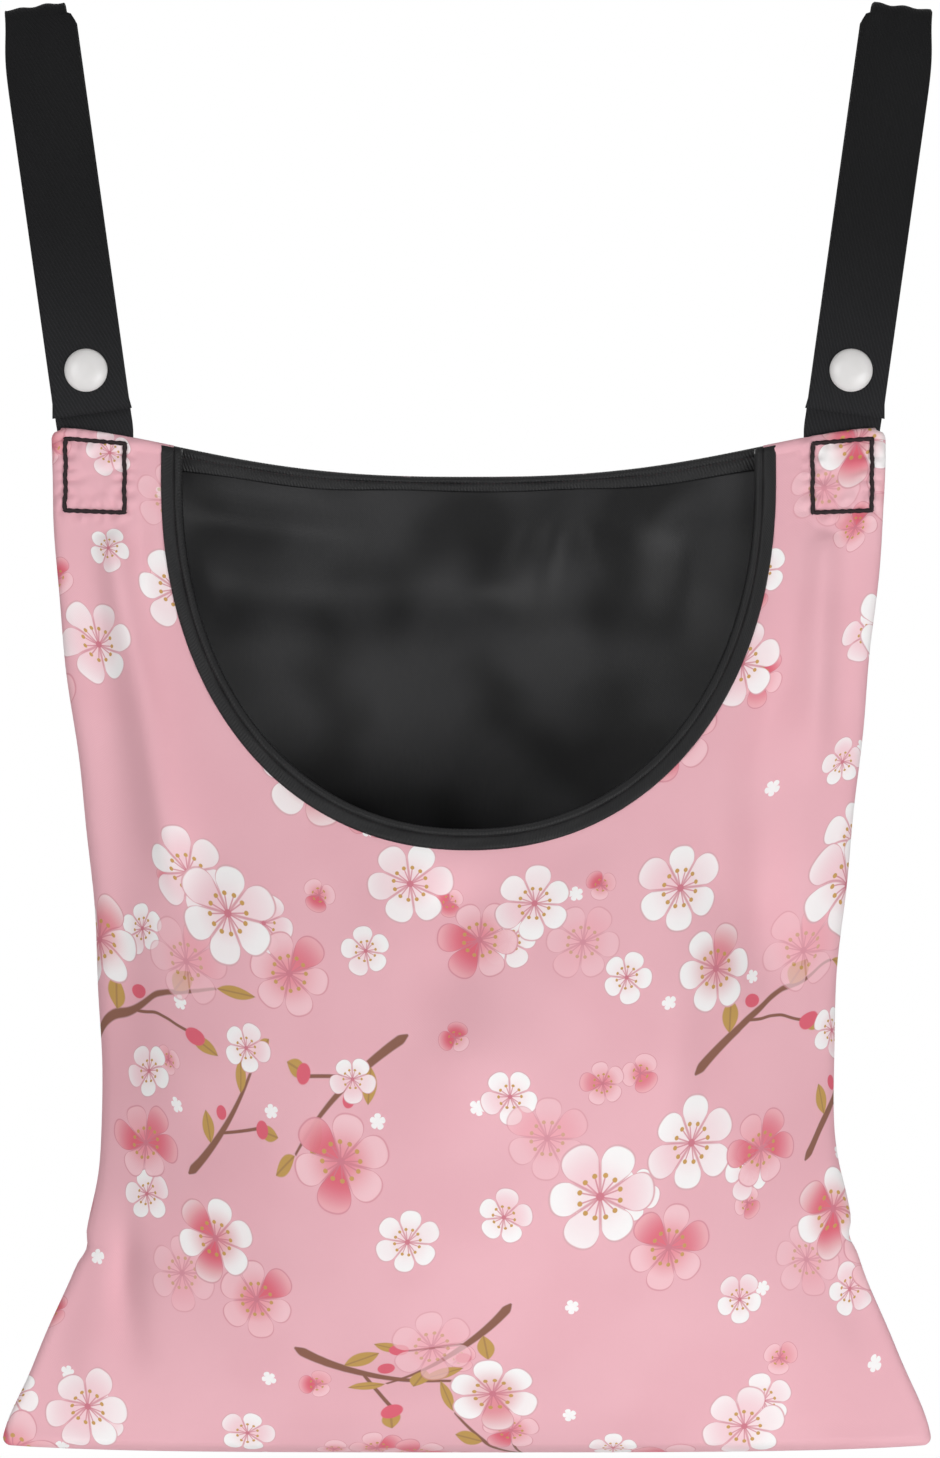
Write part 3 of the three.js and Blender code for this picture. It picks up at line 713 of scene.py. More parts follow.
def clothPoint(side, u, t, depth, rise=0.0, inset=0.0):
    # place on a layer that lies depth from the seam plane, rise above the top edge
    drop = dropAt(u, np.clip(t, 0, 1)) - rise
    x = acrossAt(u, drop)
    edge = edgeGap(u, drop) - inset
    roundOff = np.sqrt(np.maximum(0, 1 - (1 - np.clip(edge / pouch.edgeRound, 0, 1)) ** 2))
    folds = pouch.frontFolds if side < 0 else pouch.backFolds
    lift = foldLift(folds, x, drop) * settledFade(side, x, drop, u)
    away = pouch.seamDepth + (depth - pouch.seamDepth) * roundOff + swellAt(side, u, drop) + lift
    place = np.stack([x, pouch.seamY + side * away, pouch.cornerZ - drop], axis=-1)
    return place + sampleShift(side, u, np.clip(t, 0, 1))


flatSmoothing = 8


def flatCut(table):
    # place of each point on the cloth laid flat, in units of the UV map
    across = np.cumsum(np.linalg.norm(np.diff(table, axis=1), axis=2), axis=1)
    across = np.pad(across, ((0, 0), (1, 0)))
    across = across - across[:, [table.shape[1] // 2]]
    down = np.cumsum(np.linalg.norm(np.diff(table, axis=0), axis=2), axis=0)
    down = np.pad(down, ((1, 0), (0, 0)))
    for turn in range(flatSmoothing):
        ends = np.pad(across, ((1, 1), (0, 0)), mode="edge")
        across = (ends[:-2] + 2 * across + ends[2:]) / 4
        ends = np.pad(down, ((0, 0), (1, 1)), mode="edge")
        down = (ends[:, :-2] + 2 * down + ends[:, 2:]) / 4
    return np.stack([across, -down], axis=-1) / flatUnit


def gridMesh(name, table, look, keep=None, close=False, flip=False):
    # sheet through a table of places in millimetres, with its flat cut as the UV map
    down, across = table.shape[:2]
    bm = bmesh.new()
    bmesh.ops.create_grid(bm, x_segments=across - 1, y_segments=down - 1, size=1)
    bm.verts.ensure_lookup_table()
    ground = np.array([v.co[:2] for v in bm.verts])
    i = np.rint((ground[:, 0] + 1) / 2 * (across - 1)).astype(int)
    j = np.rint((1 - ground[:, 1]) / 2 * (down - 1)).astype(int)
    flat = flatCut(table)[j, i]
    layer = bm.loops.layers.uv.new("flat")
    for face in bm.faces:
        for loop in face.loops:
            loop[layer].uv = flat[loop.vert.index]
    points = table[j, i]
    for vert in bm.verts:
        vert.co = points[vert.index] * mm
    if keep is not None:
        mask = keep[j, i]
        gone = [f for f in bm.faces if not all(mask[v.index] for v in f.verts)]
        bmesh.ops.delete(bm, geom=gone, context="FACES")
    if close:
        bmesh.ops.remove_doubles(bm, verts=bm.verts, dist=1e-6)
        bmesh.ops.holes_fill(bm, edges=[e for e in bm.edges if e.is_boundary], sides=0)
        bmesh.ops.recalc_face_normals(bm, faces=bm.faces)
    elif flip:
        bmesh.ops.reverse_faces(bm, faces=bm.faces)
    return newPiece(name, bm, look)


def clothSheet(name, table, look, thick, slot, node, keep=None, flip=False):
    # sheet with a thickness, sewn to the bag
    piece = gridMesh(name, table, look, keep, flip=flip)
    wall = piece.modifiers.new("wall", "SOLIDIFY")
    wall.thickness = thick * mm
    wall.offset = 0.0
    wall.use_even_offset = False
    wall.use_quality_normals = True
    dress(piece, "bag", slot, node)
    return piece


# one settling of the cloth: longest move kept, cloth left past the mouth's edge, rounds of smoothing
clothSettle = Sizes(
    across=81, down=97, frames=26, limit=6.0, pastMouth=4.0, smoothing={-1: 8, 1: 20},
    solver={
        "quality": 8, "mass": 0.0006, "tension_stiffness": 9.0, "compression_stiffness": 9.0,
        "shear_stiffness": 4.0, "bending_stiffness": 0.05, "tension_damping": 5.0,
        "compression_damping": 5.0, "shear_damping": 5.0, "bending_damping": 0.5, "air_damping": 2.0,
        "vertex_group_mass": "held", "pin_stiffness": 1.0, "shrink_min": -0.018,
        "use_pressure": True, "uniform_pressure_force": 0.35,
    },
)


def sewnPouch(u, t, fades):
    # both outer layers joined at the seams, how firmly each vertex is held and where it belongs
    rows, columns = u.shape
    bm = bmesh.new()
    held, homes = [], []
    layers = {}
    for side, free in fades.items():
        places = clothPoint(side, u, t, pouch.outerDepth)
        drop = dropAt(u, t)
        gap = mouthGap(acrossAt(u, drop), drop, 0.0)
        inMouth = (gap < -clothSettle.pastMouth) & (side < 0)
        made = {}
        for r, c in np.ndindex(rows, columns):
            if inMouth[r, c]:
                continue
            onSeam = c in (0, columns - 1) or r == rows - 1
            if side > 0 and onSeam and (r, c) in layers[-1]:
                made[r, c] = layers[-1][r, c]
                continue
            made[r, c] = bm.verts.new(places[r, c] * mm)
            held.append(1 - free[r, c])
            homes.append((side, r, c))
        for r, c in np.ndindex(rows - 1, columns - 1):
            corners = [made.get(k) for k in ((r, c), (r + 1, c), (r + 1, c + 1), (r, c + 1))]
            if None not in corners:
                bm.faces.new(corners if side < 0 else corners[::-1])
        layers[side] = made
    return newPiece("settling", bm), held, homes


def settledMove(body, held):
    # runs the solver and gives how far each vertex moved, in metres
    group = body.vertex_groups.new(name="held")
    for index, weight in enumerate(held):
        group.add([index], float(weight), "REPLACE")
    cloth = body.modifiers.new("settle", "CLOTH")
    for key, value in clothSettle.solver.items():
        setattr(cloth.settings, key, value)
    cloth.collision_settings.use_collision = False
    cloth.point_cache.frame_end = clothSettle.frames
    before = np.array([v.co for v in body.data.vertices])
    for step in range(1, clothSettle.frames + 1):
        scene.frame_set(step)
    graph = bpy.context.evaluated_depsgraph_get()
    after = np.array([v.co for v in body.evaluated_get(graph).data.vertices])
    scene.frame_set(1)
    bpy.data.objects.remove(body)
    return after - before


def settlePouch():
    # lets the sewn pouch settle once, and keeps how far each place moved
    columns, rows = clothSettle.across, clothSettle.down
    u, t = np.meshgrid(np.linspace(-1, 1, columns), np.linspace(0, 1, rows))
    drop = dropAt(u, t)
    fades = {side: settledFade(side, acrossAt(u, drop), drop, u) for side in (-1, 1)}
    body, held, homes = sewnPouch(u, t, fades)
    move = settledMove(body, held) / mm
    size = np.linalg.norm(move, axis=1, keepdims=True)
    limit = clothSettle.limit
    move = move * np.tanh(size / limit) * limit / np.maximum(size, 1e-6)
    fields = {side: np.zeros((rows, columns, 3)) for side in fades}
    for (side, r, c), step in zip(homes, move):
        fields[side][r, c] = step
    for side, field in fields.items():
        for turn in range(clothSettle.smoothing[side]):
            around = np.pad(field, ((1, 1), (1, 1), (0, 0)), mode="edge")
            field = (around[:-2, 1:-1] + around[2:, 1:-1] + around[1:-1, :-2] + around[1:-1, 2:]) / 4
        clothShift[side] = field * fades[side][..., None]
    print(f"settled cloth moved up to {size.max():.2f} mm, mean {size.mean():.2f}")


settlePouch()


# relief of the turned hems: height, distance from the edge, breadth
hemRidges = Sizes(top=((0.75, 1.3, 1.1), (-0.2, 3.2, 0.8)), foot=(1.3, 3.4, 2.6), footPower=12)
# box of stitching over each sewn-in webbing end
boxStitch = Sizes(
    centreX=124.678, centreDrop=14.8, halfWide=9.9, halfHigh=12.0, length=2.8, thread=0.82, reach=0.74,
    topSlant=1.7, footSlant=0.8, overlap=0.004, sway=0.2, lift=0.55,
    # dents in the cloth: height, distance from the stitches, breadth
    groove=(-0.42, 0, 1.0), waves=(0.6, 2.0, 1.5), puff=(0.55, -5, 3.5), creases=(0.36, -1, 7),
    creaseFree=(1, 0, 1.6),
)


def hemRoll(u, drop):
    foot = ridge(hemDropAt(u) - drop, *hemRidges.foot) * (1 - np.abs(u) ** hemRidges.footPower)
    return sum(ridge(drop - topDropAt(u), *row) for row in hemRidges.top) + foot


def stitchPucker(x, drop):
    # a groove under the stitches, waves along it, a puffed middle and fine creases around it
    total = np.zeros(x.shape)
    for sign in (-1, 1):
        dx, dd = x - sign * boxStitch.centreX, drop - boxStitch.centreDrop
        qx, qd = np.abs(dx) - boxStitch.halfWide, np.abs(dd) - boxStitch.halfHigh
        outside = np.hypot(np.maximum(qx, 0), np.maximum(qd, 0))
        gap = np.where((qx < 0) & (qd < 0), np.maximum(qx, qd), outside)
        run = np.where(qx > qd, dd, dx)
        wave = np.cos(2 * np.pi * run / boxStitch.length / 1.7 + 1.3 * np.sin(run / 3.1))
        puff = 1 + 0.8 * np.sin(dx / 2.3 + 0.7 * dd) * np.sin(dd / 3.7 - 0.3 * dx)
        crease = np.sin(dx / 1.15 + 0.45 * dd + np.sin(dd / 2.1)) * np.sin(dd / 1.4 - 0.35 * dx)
        total += ridge(gap, *boxStitch.groove) + wave * ridge(np.abs(gap), *boxStitch.waves)
        total += puff * ridge(gap, *boxStitch.puff)
        total += crease * ridge(gap, *boxStitch.creases) * (1 - ridge(gap, *boxStitch.creaseFree))
    return total


# rows and columns of the panels: close at the seams, fine at the top and shoulders, coarse elsewhere
grading = Sizes(
    edge=np.array([0.0, 0.15, 0.45, 0.95, 1.6, 2.4, 3.3]), next=4.2, middleHalf=101.0, topTo=36.0,
    # fine step, coarse steps across and down
    front=(0.95, 2.5, 2.7), back=(1.3, 3.0, 3.2),
)


def gradedAcross(fine, coarse):
    half, middleHalf = pouch.topHalf, grading.middleHalf
    shoulder = np.arange(grading.next, half - middleHalf, fine)
    middle = np.linspace(half - middleHalf, half, int(middleHalf / coarse) + 1)
    right = 1 - np.concatenate([grading.edge, shoulder, middle]) / half
    return np.concatenate([-right[:-1], right[::-1]])


def gradedDown(fine, coarse):
    total, topTo = pouch.height, grading.topTo
    top = np.arange(0, topTo, fine)
    middle = np.linspace(topTo, total - grading.next, int((total - topTo) / coarse))
    return np.concatenate([top, middle, total - grading.edge[::-1]]) / total


# the outer cloth turns in over the top edge: each row's rise above it and depth off the outer layer
turnedIn = Sizes(
    rows=((-6.0, -1.0), (-3.0, -1.0), (-0.9, -1.0), (0.0, -0.98), (0.38, -0.84), (0.52, -0.5),
          (0.38, -0.14), (0.0, 0.0)),
    # shorter behind the back's tape
    tapeReach=0.74, tapeFrom=-0.9, tapeShare=0.35, facing=-0.3,
)


def makeOuter(name, side, node, fine, coarseAcross, coarseDown):
    down = gradedDown(fine, coarseDown)[1:]
    rise, depth = np.concatenate([turnedIn.rows, np.zeros((len(down), 2))]).T[..., None]
    atTop = np.zeros(len(turnedIn.rows))
    u, t = np.meshgrid(gradedAcross(fine, coarseAcross), np.concatenate([atTop, down]))
    if side > 0:
        underTape = (rise < turnedIn.tapeFrom) & (np.abs(u) < turnedIn.tapeReach)
        rise = np.where(underTape, rise * turnedIn.tapeShare, rise)
    drop = dropAt(u, t) - rise
    x = acrossAt(u, drop)
    relief = (hemRoll(u, drop) + stitchPucker(x, drop)) * (depth > turnedIn.facing)
    table = clothPoint(side, u, t, pouch.outerDepth + depth + relief, rise)
    keep = mouthGap(x, drop, pouch.mouthCut) > 0 if side < 0 else None
    return clothSheet(name, table, printedClothLook, pouch.outerThick, "printed_cloth", node, keep, side > 0)


# linings: free of the seams, the top edge and the shoulders, where the webbing ends lie
lining = Sizes(
    seamGap=2.99, roundGap=2.0, topGap=0.5, shoulderGap=6.6, shoulderX=100.0,
    across=np.concatenate([[-1], np.linspace(-0.978, 0.978, 110), [1]]),
    down=np.concatenate([np.linspace(0, 0.03, 8), np.linspace(0.036, 0.99, 120), [1.0]]),
)


def makeLining(name, side, node):
    u, t = np.meshgrid(lining.across, lining.down)
    drop = dropAt(u, t)
    x = acrossAt(u, drop)
    topGap = np.where(np.abs(x) > lining.shoulderX, lining.shoulderGap, lining.topGap)
    keep = (edgeGap(u, drop) > lining.seamGap) & (drop - topDropAt(u) > topGap)
    if side < 0:
        keep = keep & (mouthGap(x, drop, pouch.mouthCut) > 0)
    table = clothPoint(side, u, t, pouch.liningDepth, inset=lining.roundGap)
    return clothSheet(name, table, liningLook, pouch.liningThick, "lining", node, keep, side > 0)


frontPanel = makeOuter("front_panel", -1, "front_outer", *grading.front)
backPanel = makeOuter("back_panel", 1, "back_outer", *grading.back)
frontLining = makeLining("front_lining_cloth", -1, "front_lining")
backLining = makeLining("back_lining_cloth", 1, "back_lining")
print("pouch panels ready")


# binding tape: distance from the cut edge, height over the outer cloth
tape = Sizes(
    profile=(
        (7.5, 0.05), (7.35, 0.42), (6.9, 0.60), (5.6, 0.62), (4.2, 0.66), (3.2, 0.70), (2.75, 0.60),
        (2.45, 0.34), (2.2, 0.52), (1.8, 0.86), (1.2, 1.08), (0.5, 1.08), (-0.15, 0.82), (-0.6, 0.25),
        (-0.72, -0.5), (-0.6, -1.3), (-0.1, -1.85), (0.6, -2.05), (1.5, -2.02), (2.2, -1.85), (2.45, -1.72),
        (2.8, -1.88), (4.5, -1.95), (6.6, -1.92), (7.3, -1.75),
    ),
    thick=0.42, narrow=0.82, straight=0.04, sections=180, backSections=120, slack=0.3,
    # stitching: distance from the cut edge, heights of the outer and inner row on each tape
    stitch=2.6, thread=0.34, stitchReach=2.45, mouthRows=(0.42, -1.86), backRows=(0.46, -1.84),
    backEnd=1.0, half=pouch.mouthHalf + pouch.tapeWidth,
)


def mouthPlace(grow, share):
    # straight down from the top edge, round the bottom and straight up again
    half, lowest, side = pouch.mouthHalf + grow, pouch.mouthDrop + grow, pouch.mouthSide
    top = float(topDropAt(half / pouch.topHalf))
    angle = np.pi * np.clip((share - tape.straight) / (1 - 2 * tape.straight), 0, 1)
    power = 2 / pouch.mouthRound
    x = -half * np.sign(np.cos(angle)) * np.abs(np.cos(angle)) ** power
    drop = side + (lowest - side) * np.maximum(np.sin(angle), 0) ** power
    above = np.minimum(np.minimum(share, 1 - share) / tape.straight, 1)
    return x, drop - (side - top) * (1 - above)


def outerSurface(side, x, drop):
    # place on the outside of the outer cloth near its sewn edges
    u = np.clip(x / halfWidthAt(drop), -1, 1)
    away = pouch.outerDepth + pouch.outerThick / 2 + swellAt(side, u, np.maximum(drop, 0))
    return np.stack([x, pouch.seamY + side * away, pouch.cornerZ - drop], axis=-1)


def surfaceNormal(side, x, drop, step=0.5):
    dx = outerSurface(side, x + step, drop) - outerSurface(side, x - step, drop)
    dd = outerSurface(side, x, drop + step) - outerSurface(side, x, drop - step)
    normal = np.cross(dx, dd)
    normal /= np.linalg.norm(normal, axis=-1, keepdims=True)
    return normal * np.where(normal[..., 1:2] * side > 0, 1, -1)


def evenShares(count):
    # shares of the mouth's line at even steps along its edge, and the edge's length
    raw = np.linspace(0, 1, 2000)
    x, drop = mouthPlace(0, raw)
    run = np.concatenate([[0], np.cumsum(np.hypot(np.diff(x), np.diff(drop)))])
    return np.interp(np.linspace(0, run[-1], count), run, raw), run[-1]


def overSurface(side, x, drop, height):
    return outerSurface(side, x, drop) + surfaceNormal(side, x, drop) * height[:, None]


def mouthTapeTable(profile, shares):
    rows = []
    wide = pouch.tapeWidth
    x0, d0 = mouthPlace(0, shares)
    x1, d1 = mouthPlace(wide, shares)
    for reach, height in profile:
        reach = wide - (wide - reach) * tape.narrow
        x, drop = x0 + (x1 - x0) * reach / wide, d0 + (d1 - d0) * reach / wide
        waver = 0.10 * np.sin(shares * 61 + reach) + 0.07 * np.sin(shares * 137 + 2 * reach)
        rows.append(overSurface(-1, x, drop, height + waver * (height > tape.slack)))
    return np.array(rows)


def backTapeTable(profile, xs):
    rows = []
    # the inner fold is narrower in the middle
    rolled = 0.52 + 0.5 * np.abs(xs / tape.half) ** 1.6 + 0.05 * np.sin(xs * 0.11 + 1)
    for reach, height in profile:
        drop = topDropAt(xs / pouch.topHalf) + reach * (rolled if height < -1 and reach > 0 else 1)
        waver = 0.12 * np.sin(xs * 0.21 + reach) + 0.08 * np.sin(xs * 0.53)
        rows.append(overSurface(1, xs, drop, height + waver * (abs(height) > tape.slack)))
    return np.array(rows)


def stitchMesh(name, ends, thread, reach=0.54):
    # one small bead of thread for each stitch, from start to end in millimetres
    bm = bmesh.new()
    for start, end, outward in ends:
        start, end, outward = Vector(start), Vector(end), Vector(outward).normalized()
        run = (end - start).normalized()
        across = outward.cross(run).normalized()
        turn = Matrix((across, run, outward)).transposed().to_4x4()
        sizes = Matrix.Diagonal((thread * mm, (end - start).length * reach * mm, thread * 0.75 * mm, 1))
        place = Matrix.Translation((start + end) / 2 * mm) @ turn @ sizes
        bmesh.ops.create_uvsphere(bm, u_segments=8, v_segments=6, radius=1, matrix=place)
    return newPiece(name, bm, threadLook)


def stitchRow(line, outward):
    # a stitch on every other step of a line
    return [(line[k], line[k + 1], outward[k]) for k in range(0, len(line) - 1, 2)]


def mouthStitches():
    ends = []
    shares, _ = evenShares(int(mouthRun / tape.stitch) * 2 + 1)
    normals = surfaceNormal(-1, *mouthPlace(tape.stitchReach, shares))
    for height in tape.mouthRows:
        line = mouthTapeTable(((tape.stitchReach, height),), shares)[0]
        ends += stitchRow(line, normals * np.sign(height))
    return ends


def backStitches():
    ends = []
    reach = tape.half - tape.backEnd
    xs = np.linspace(-reach, reach, int(2 * tape.half / tape.stitch) * 2 + 1)
    for height in tape.backRows:
        line = backTapeTable(((tape.stitchReach, height),), xs)[0]
        ends += stitchRow(line, [(0, np.sign(height), 0)] * len(xs))
    return ends


mouthShares, mouthRun = evenShares(tape.sections)
backXs = np.linspace(-tape.half, tape.half, tape.backSections)
mouthTable = mouthTapeTable(tape.profile, mouthShares)
backTable = backTapeTable(tape.profile, backXs)
clothSheet("mouth_tape", mouthTable, tapeLook, tape.thick, "binding", "mouth_binding", flip=True)
clothSheet("back_tape", backTable, tapeLook, tape.thick, "binding", "back_top_binding")
for name, ends in (("mouth_tape_stitching", mouthStitches()), ("back_tape_stitching", backStitches())):
    dress(stitchMesh(name, ends, tape.thread), "bag", "thread")
print("binding ready")


# turned-in seam allowances between the linings
allowance = Sizes(
    topDrop=28.6, insets=(1.0, 5.0), shares=(0, 0.33, 0.66, 1), thick=0.8, steps=80,
    hemGap=1.2, hemDrop=330.0, hemEnd=6.0,
)


def seamStrip(name, node, lineAt):
    # strip between the seam's two edge lines
    outer, inner = [np.array(lineAt(inset))[:, None] for inset in allowance.insets]
    x, drop = outer + (inner - outer) * np.array(allowance.shares)[:, None]
    table = np.stack([x, np.full(x.shape, pouch.seamY), pouch.cornerZ - drop], axis=-1)
    clothSheet(name, table, liningLook, allowance.thick, "lining", node)


def sideSeamLine(side, inset):
    lowest = float(hemDropAt(1.0)) - allowance.hemGap
    drop = np.linspace(allowance.topDrop, lowest, allowance.steps)
    return acrossAt(np.full(drop.shape, float(side)), drop) - side * inset, drop


def hemSeamLine(inset):
    reach = float(halfWidthAt(allowance.hemDrop)) - allowance.hemEnd
    x = np.linspace(-reach, reach, allowance.steps)
    return x, hemDropAt(x / pouch.hemHalf) - inset


for label, sign in sides.items():
    seamStrip(label + "_seam_allowance", label + "_side_seam", lambda inset: sideSeamLine(sign, inset))
seamStrip("bottom_seam_allowance", "bottom_seam", hemSeamLine)


def boxStitches(sign):
    ends = []
    wide, high = boxStitch.halfWide, boxStitch.halfHigh
    top, foot = -high + boxStitch.topSlant, high + boxStitch.footSlant
    corners = [(-wide, -high), (wide, top), (wide, foot), (-wide, high)]

    def stitchEnd(side, k, share, count):
        (ax, ad), (bx, bd) = corners[k], corners[(k + 1) % 4]
        x = sign * boxStitch.centreX - sign * (ax + (bx - ax) * share)
        drop = boxStitch.centreDrop + ad + (bd - ad) * share
        sway = boxStitch.sway * math.sin(share * count * 1.9 + k)
        u = np.array((x + sway) / float(halfWidthAt(drop)))
        top = topDropAt(u)
        t = (drop - top) / (hemDropAt(u) - top)
        lift = boxStitch.lift + max(0.0, float(hemRoll(u, drop)))
        return clothPoint(side, u, t, pouch.outerDepth + lift)

    for side in (-1, 1):
        for k in range(4):
            (ax, ad), (bx, bd) = corners[k], corners[(k + 1) % 4]
            count = round(math.hypot(bx - ax, bd - ad) / boxStitch.length)
            for n in range(count):
                shares = (n / count - boxStitch.overlap, (n + 1) / count + boxStitch.overlap)
                ends.append((*[stitchEnd(side, k, share, count) for share in shares], (0, side, 0)))
    return ends


for label, sign in sides.items():
    box = stitchMesh(label + "_box_stitching", boxStitches(sign), boxStitch.thread, boxStitch.reach)
    dress(box, "bag", "thread", label + "_box_stitch")
print("seams and stitching ready")


# webbing loops: heights run along the webbing from the seat of the loop at 0
webbing = Sizes(
    wide=25.4, thick=1.4, edgeRound=0.75, seatX=144.058, lean=math.radians(7.9), legY=5.2,
    rootX=124.678, edge=-141.0, corner=3.0, seatHalf=1.5, fold=-5.2,
    snap=-121.0, tabSnap=115.8, tabSnapAway=4.6, turnFrom=-145.0, turnOver=8.0,
    # crown: drawn in outside, stepped inside. Free end: a little wider
    crownDraw=2.3, crownStep=2.8, crownReach=12.0, crownEase=14.0, crownPast=2.0, crownCrease=0.32,
    stepFrom=-3.6, stepOver=1.4, endSpread=0.7, endReach=5.0, endBelow=-100.0,
    creaseHalf=12.0, faceFrom=0.3,
    # heights of the sections, close together where the webbing bends: from, to, count
    rearRows=((-169.0, -147.0, 10), (-146.0, -128.0, 28), (-126.0, -3.0, 48)),
    tabRows=((-0.4, -6.0, 6), (-8.0, -130.4, 52)),
    # two heights along the webbing around each change from one part to the next
    rootBlend=(-140.5, -131.5), tabBlend=(-3.0, -9.0),
)
webbing["tilt"] = math.asin(webbing.tabSnapAway / webbing.tabSnap)


def loopMatrix(sign):
    return Matrix.Translation((sign * webbing.seatX, 0, 0)) @ Matrix.Rotation(sign * webbing.lean, 4, "Y")


def tabMatrix(sign):
    fold = Matrix.Translation((0, -webbing.legY, webbing.fold))
    return loopMatrix(sign) @ fold @ Matrix.Rotation(webbing.tilt, 4, "X")


def webbingRing():
    # section of the webbing: across, and height over its middle, once round
    thick, edge = webbing.thick / 2, webbing.edgeRound
    flatHalf = webbing.wide / 2 - edge
    flat = np.linspace(-flatHalf, flatHalf, 15)
    upper = [(x, thick) for x in flat]
    lower = [(x, -thick) for x in flat[::-1]]
    turns = (0.6, 1.2, math.pi / 2, math.pi - 1.2, math.pi - 0.6)
    bend = [(flatHalf + edge * math.sin(a), thick * math.cos(a)) for a in turns]
    other = [(-x, -y) for x, y in bend]
    ring = upper + bend + lower + other
    return np.array(ring + ring[:1])


def sweepWebbing(name, stations, sign):
    # stations: middle, across and outward directions of each section
    ring = webbingRing()
    along, high = ring[:, 0], ring[:, 1:]
    past, ease = webbing.crownPast, webbing.crownEase
    outer, inner = smooth((along * sign + past) / ease), smooth((past - along * sign) / ease)
    end = np.array(stations[-1][0])
    rows = []
    run = 0.0
    previous = np.array(stations[0][0])
    for middle, across, outward in stations:
        middle, across, outward = np.array(middle), np.array(across), np.array(outward)
        run += float(np.linalg.norm(middle - previous))
        previous = middle
        crown = math.exp(-(middle[2] / webbing.crownReach) ** 2)
        nearEnd = max(0, 1 - float(np.linalg.norm(end - middle)) / webbing.endReach)
        nearEnd *= end[2] < webbing.endBelow
        step = webbing.crownStep * float(smooth((middle[2] - webbing.stepFrom) / webbing.stepOver))
        wide = along * (1 + webbing.endSpread * nearEnd / (webbing.wide / 2))
        wide = wide + sign * (inner * step - outer * webbing.crownDraw * crown)
        waver = 0.14 * np.sin(run / 7.0 + along * 0.11) * np.sin(along * 0.2 + run / 31.0)
        crease = webbing.crownCrease * crown * np.sin(along * 0.55 + 1.1 * sign)
        waver = waver + crease * (abs(along) < webbing.creaseHalf)
        lift = high + waver[:, None] * (abs(high) > webbing.faceFrom)
        rows.append(middle + wide[:, None] * across + lift * outward)
    return gridMesh(name, np.array(rows), webbingLook, close=True)


def lowerStations(sign):
    lean = loopMatrix(sign)
    made = []
    for h in np.concatenate([np.linspace(*row) for row in webbing.rearRows]):
        share = float(smooth((h - webbing.turnFrom) / webbing.turnOver))
        upright = Vector((sign * webbing.rootX, webbing.legY, pouch.cornerZ + h - webbing.edge))
        middle = upright.lerp(lean @ Vector((0, webbing.legY, h)), share)
        across = Vector((1, 0, 0)).lerp(lean.to_3x3() @ Vector((1, 0, 0)), share).normalized()
        made.append((middle, across, Vector((0, 1, 0))))
    return made


def upperStations(sign):
    lean, tab = loopMatrix(sign), tabMatrix(sign)
    across = lean.to_3x3() @ Vector((1, 0, 0))
    turn = webbing.corner + webbing.thick / 2
    made = []

    def addRound(y, angle):
        cos, sin = math.cos(angle), math.sin(angle)
        middle = Vector((0, y + turn * cos, -webbing.corner + turn * sin))
        made.append((lean @ middle, across, lean.to_3x3() @ Vector((0, cos, sin))))

    for a in np.linspace(0, math.pi / 2, 9):
        addRound(webbing.seatHalf, a)
    addRound(0, math.pi / 2)
    for a in np.linspace(math.pi / 2, math.pi, 9):
        addRound(-webbing.seatHalf, a)
    outward = tab.to_3x3() @ Vector((0, -1, 0))
    for z in np.concatenate([np.linspace(*row) for row in webbing.tabRows]):
        direct = (lean.to_3x3() @ Vector((0, -1, 0))).lerp(outward, float(smooth(-z / 5))).normalized()
        made.append((tab @ Vector((0, 0, z)), across, direct))
    return made


def blendAlong(piece, sign, y, heights):
    start, end = [loopMatrix(sign) @ Vector((0, y, height)) * mm for height in heights]
    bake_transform(piece)
    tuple(start)
    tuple(end)


for label, sign in sides.items():
    lower = sweepWebbing(label + "_webbing_rear", lowerStations(sign), sign)
    blendAlong(lower, sign, webbing.legY, webbing.rootBlend)
    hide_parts(label + "_strap_anchor", label + "_strap_loop")
    upper = sweepWebbing(label + "_webbing_front", upperStations(sign), sign)
    blendAlong(upper, sign, -webbing.legY, webbing.tabBlend)
    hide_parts(label + "_strap_tab")
print("webbing ready")


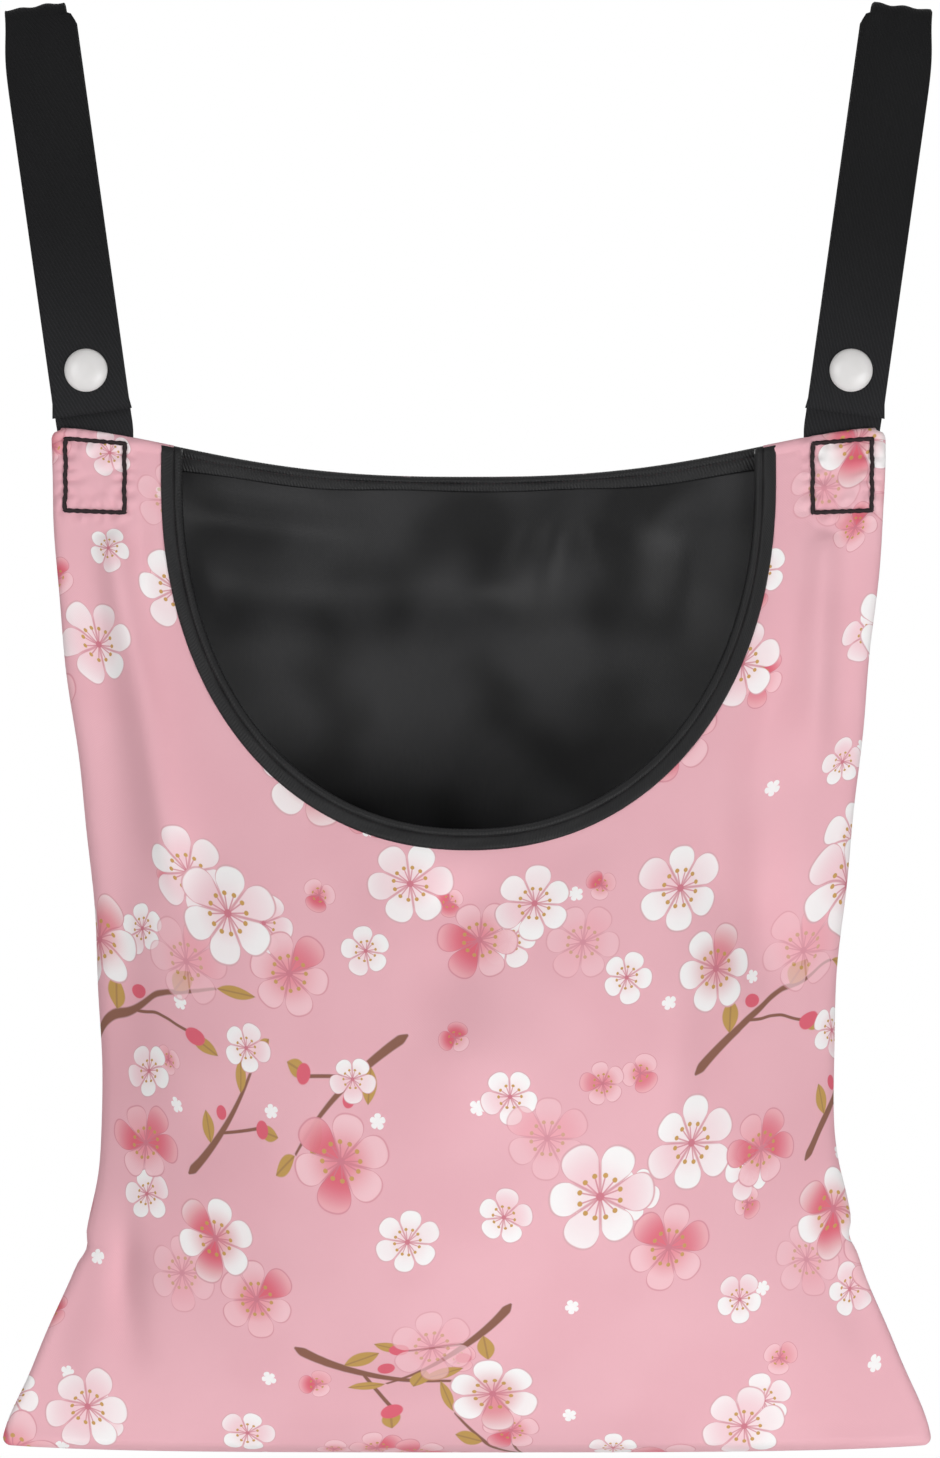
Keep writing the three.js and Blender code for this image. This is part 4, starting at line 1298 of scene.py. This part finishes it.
# press studs: radius and distance along the stud's axis
snaps = Sizes(
    cap=((0.0, 2.55), (1.6, 2.52), (3.2, 2.38), (4.6, 2.08), (5.8, 1.62), (6.6, 1.10), (7.05, 0.62),
         (7.2, 0.35), (7.1, 0.1), (6.7, 0.0), (0.0, 0.0)),
    disc=((0.0, 1.7), (1.2, 1.66), (2.2, 1.5), (3.0, 1.42), (4.4, 1.3), (5.6, 0.95), (6.2, 0.5),
          (6.4, 0.25), (6.3, 0.06), (6.0, 0.0), (0.0, 0.0)),
    socket=((1.4, 0.0), (5.1, 0.0), (5.4, 0.25), (5.4, 1.8), (5.1, 2.2), (3.0, 2.2), (2.7, 1.95),
            (2.3, 2.1), (2.3, 0.9), (1.4, 0.9), (1.4, 0.0)),
    stud=((0.0, 2.4), (1.2, 2.38), (1.75, 2.2), (1.9, 1.9), (1.65, 1.5), (1.7, 1.3), (3.4, 1.3),
          (3.8, 1.1), (4.9, 1.1), (5.4, 0.8), (5.4, 0.2), (5.2, 0.0), (0.0, 0.0)),
    gap=0.3, capGap=0.12, segments=48,
)


def turnedPiece(name, profile, matrix, offset, away):
    place = matrix @ Matrix.Translation(offset)
    place.translation *= mm
    bm = bmesh.new()
    row = [bm.verts.new((radius * mm, away * height * mm, 0)) for radius, height in profile]
    edges = [bm.edges.new(pair) for pair in zip(row, row[1:])]
    bmesh.ops.spin(bm, geom=row + edges, cent=(0, 0, 0), axis=(0, 1, 0), angle=2 * math.pi,
                   steps=snaps.segments, use_merge=True)
    bmesh.ops.remove_doubles(bm, verts=bm.verts, dist=2e-6)
    bmesh.ops.recalc_face_normals(bm, faces=bm.faces)
    bmesh.ops.transform(bm, matrix=place, verts=bm.verts)
    return newPiece(name, bm, pearlLook)


tabSnap = -webbing.tabSnap / math.cos(webbing.tilt)
half = webbing.thick / 2
# shape, ending of the name, y and height of its foot, direction, node
onTab = (("cap", "dome", -half - snaps.capGap, tabSnap, -1, "cap"),
         ("socket", "ring", half + snaps.gap, tabSnap, 1, "socket"))
onLoop = (("stud", "post", webbing.legY - half - snaps.gap, webbing.snap, -1, "stud"),
          ("disc", "disc", webbing.legY + half + snaps.capGap, webbing.snap, 1, "back_cap"))
for label, sign in sides.items():
    for rows, matrix, body in ((onTab, tabMatrix(sign), "_tab"), (onLoop, loopMatrix(sign), "_strap")):
        for shape, ending, y, z, away, node in rows:
            piece = turnedPiece(label + "_snap_" + ending, snaps[shape], matrix, (0, y, z), away)
            dress(piece, label + body, "press_stud", label + "_snap_" + node)
print("press studs ready")
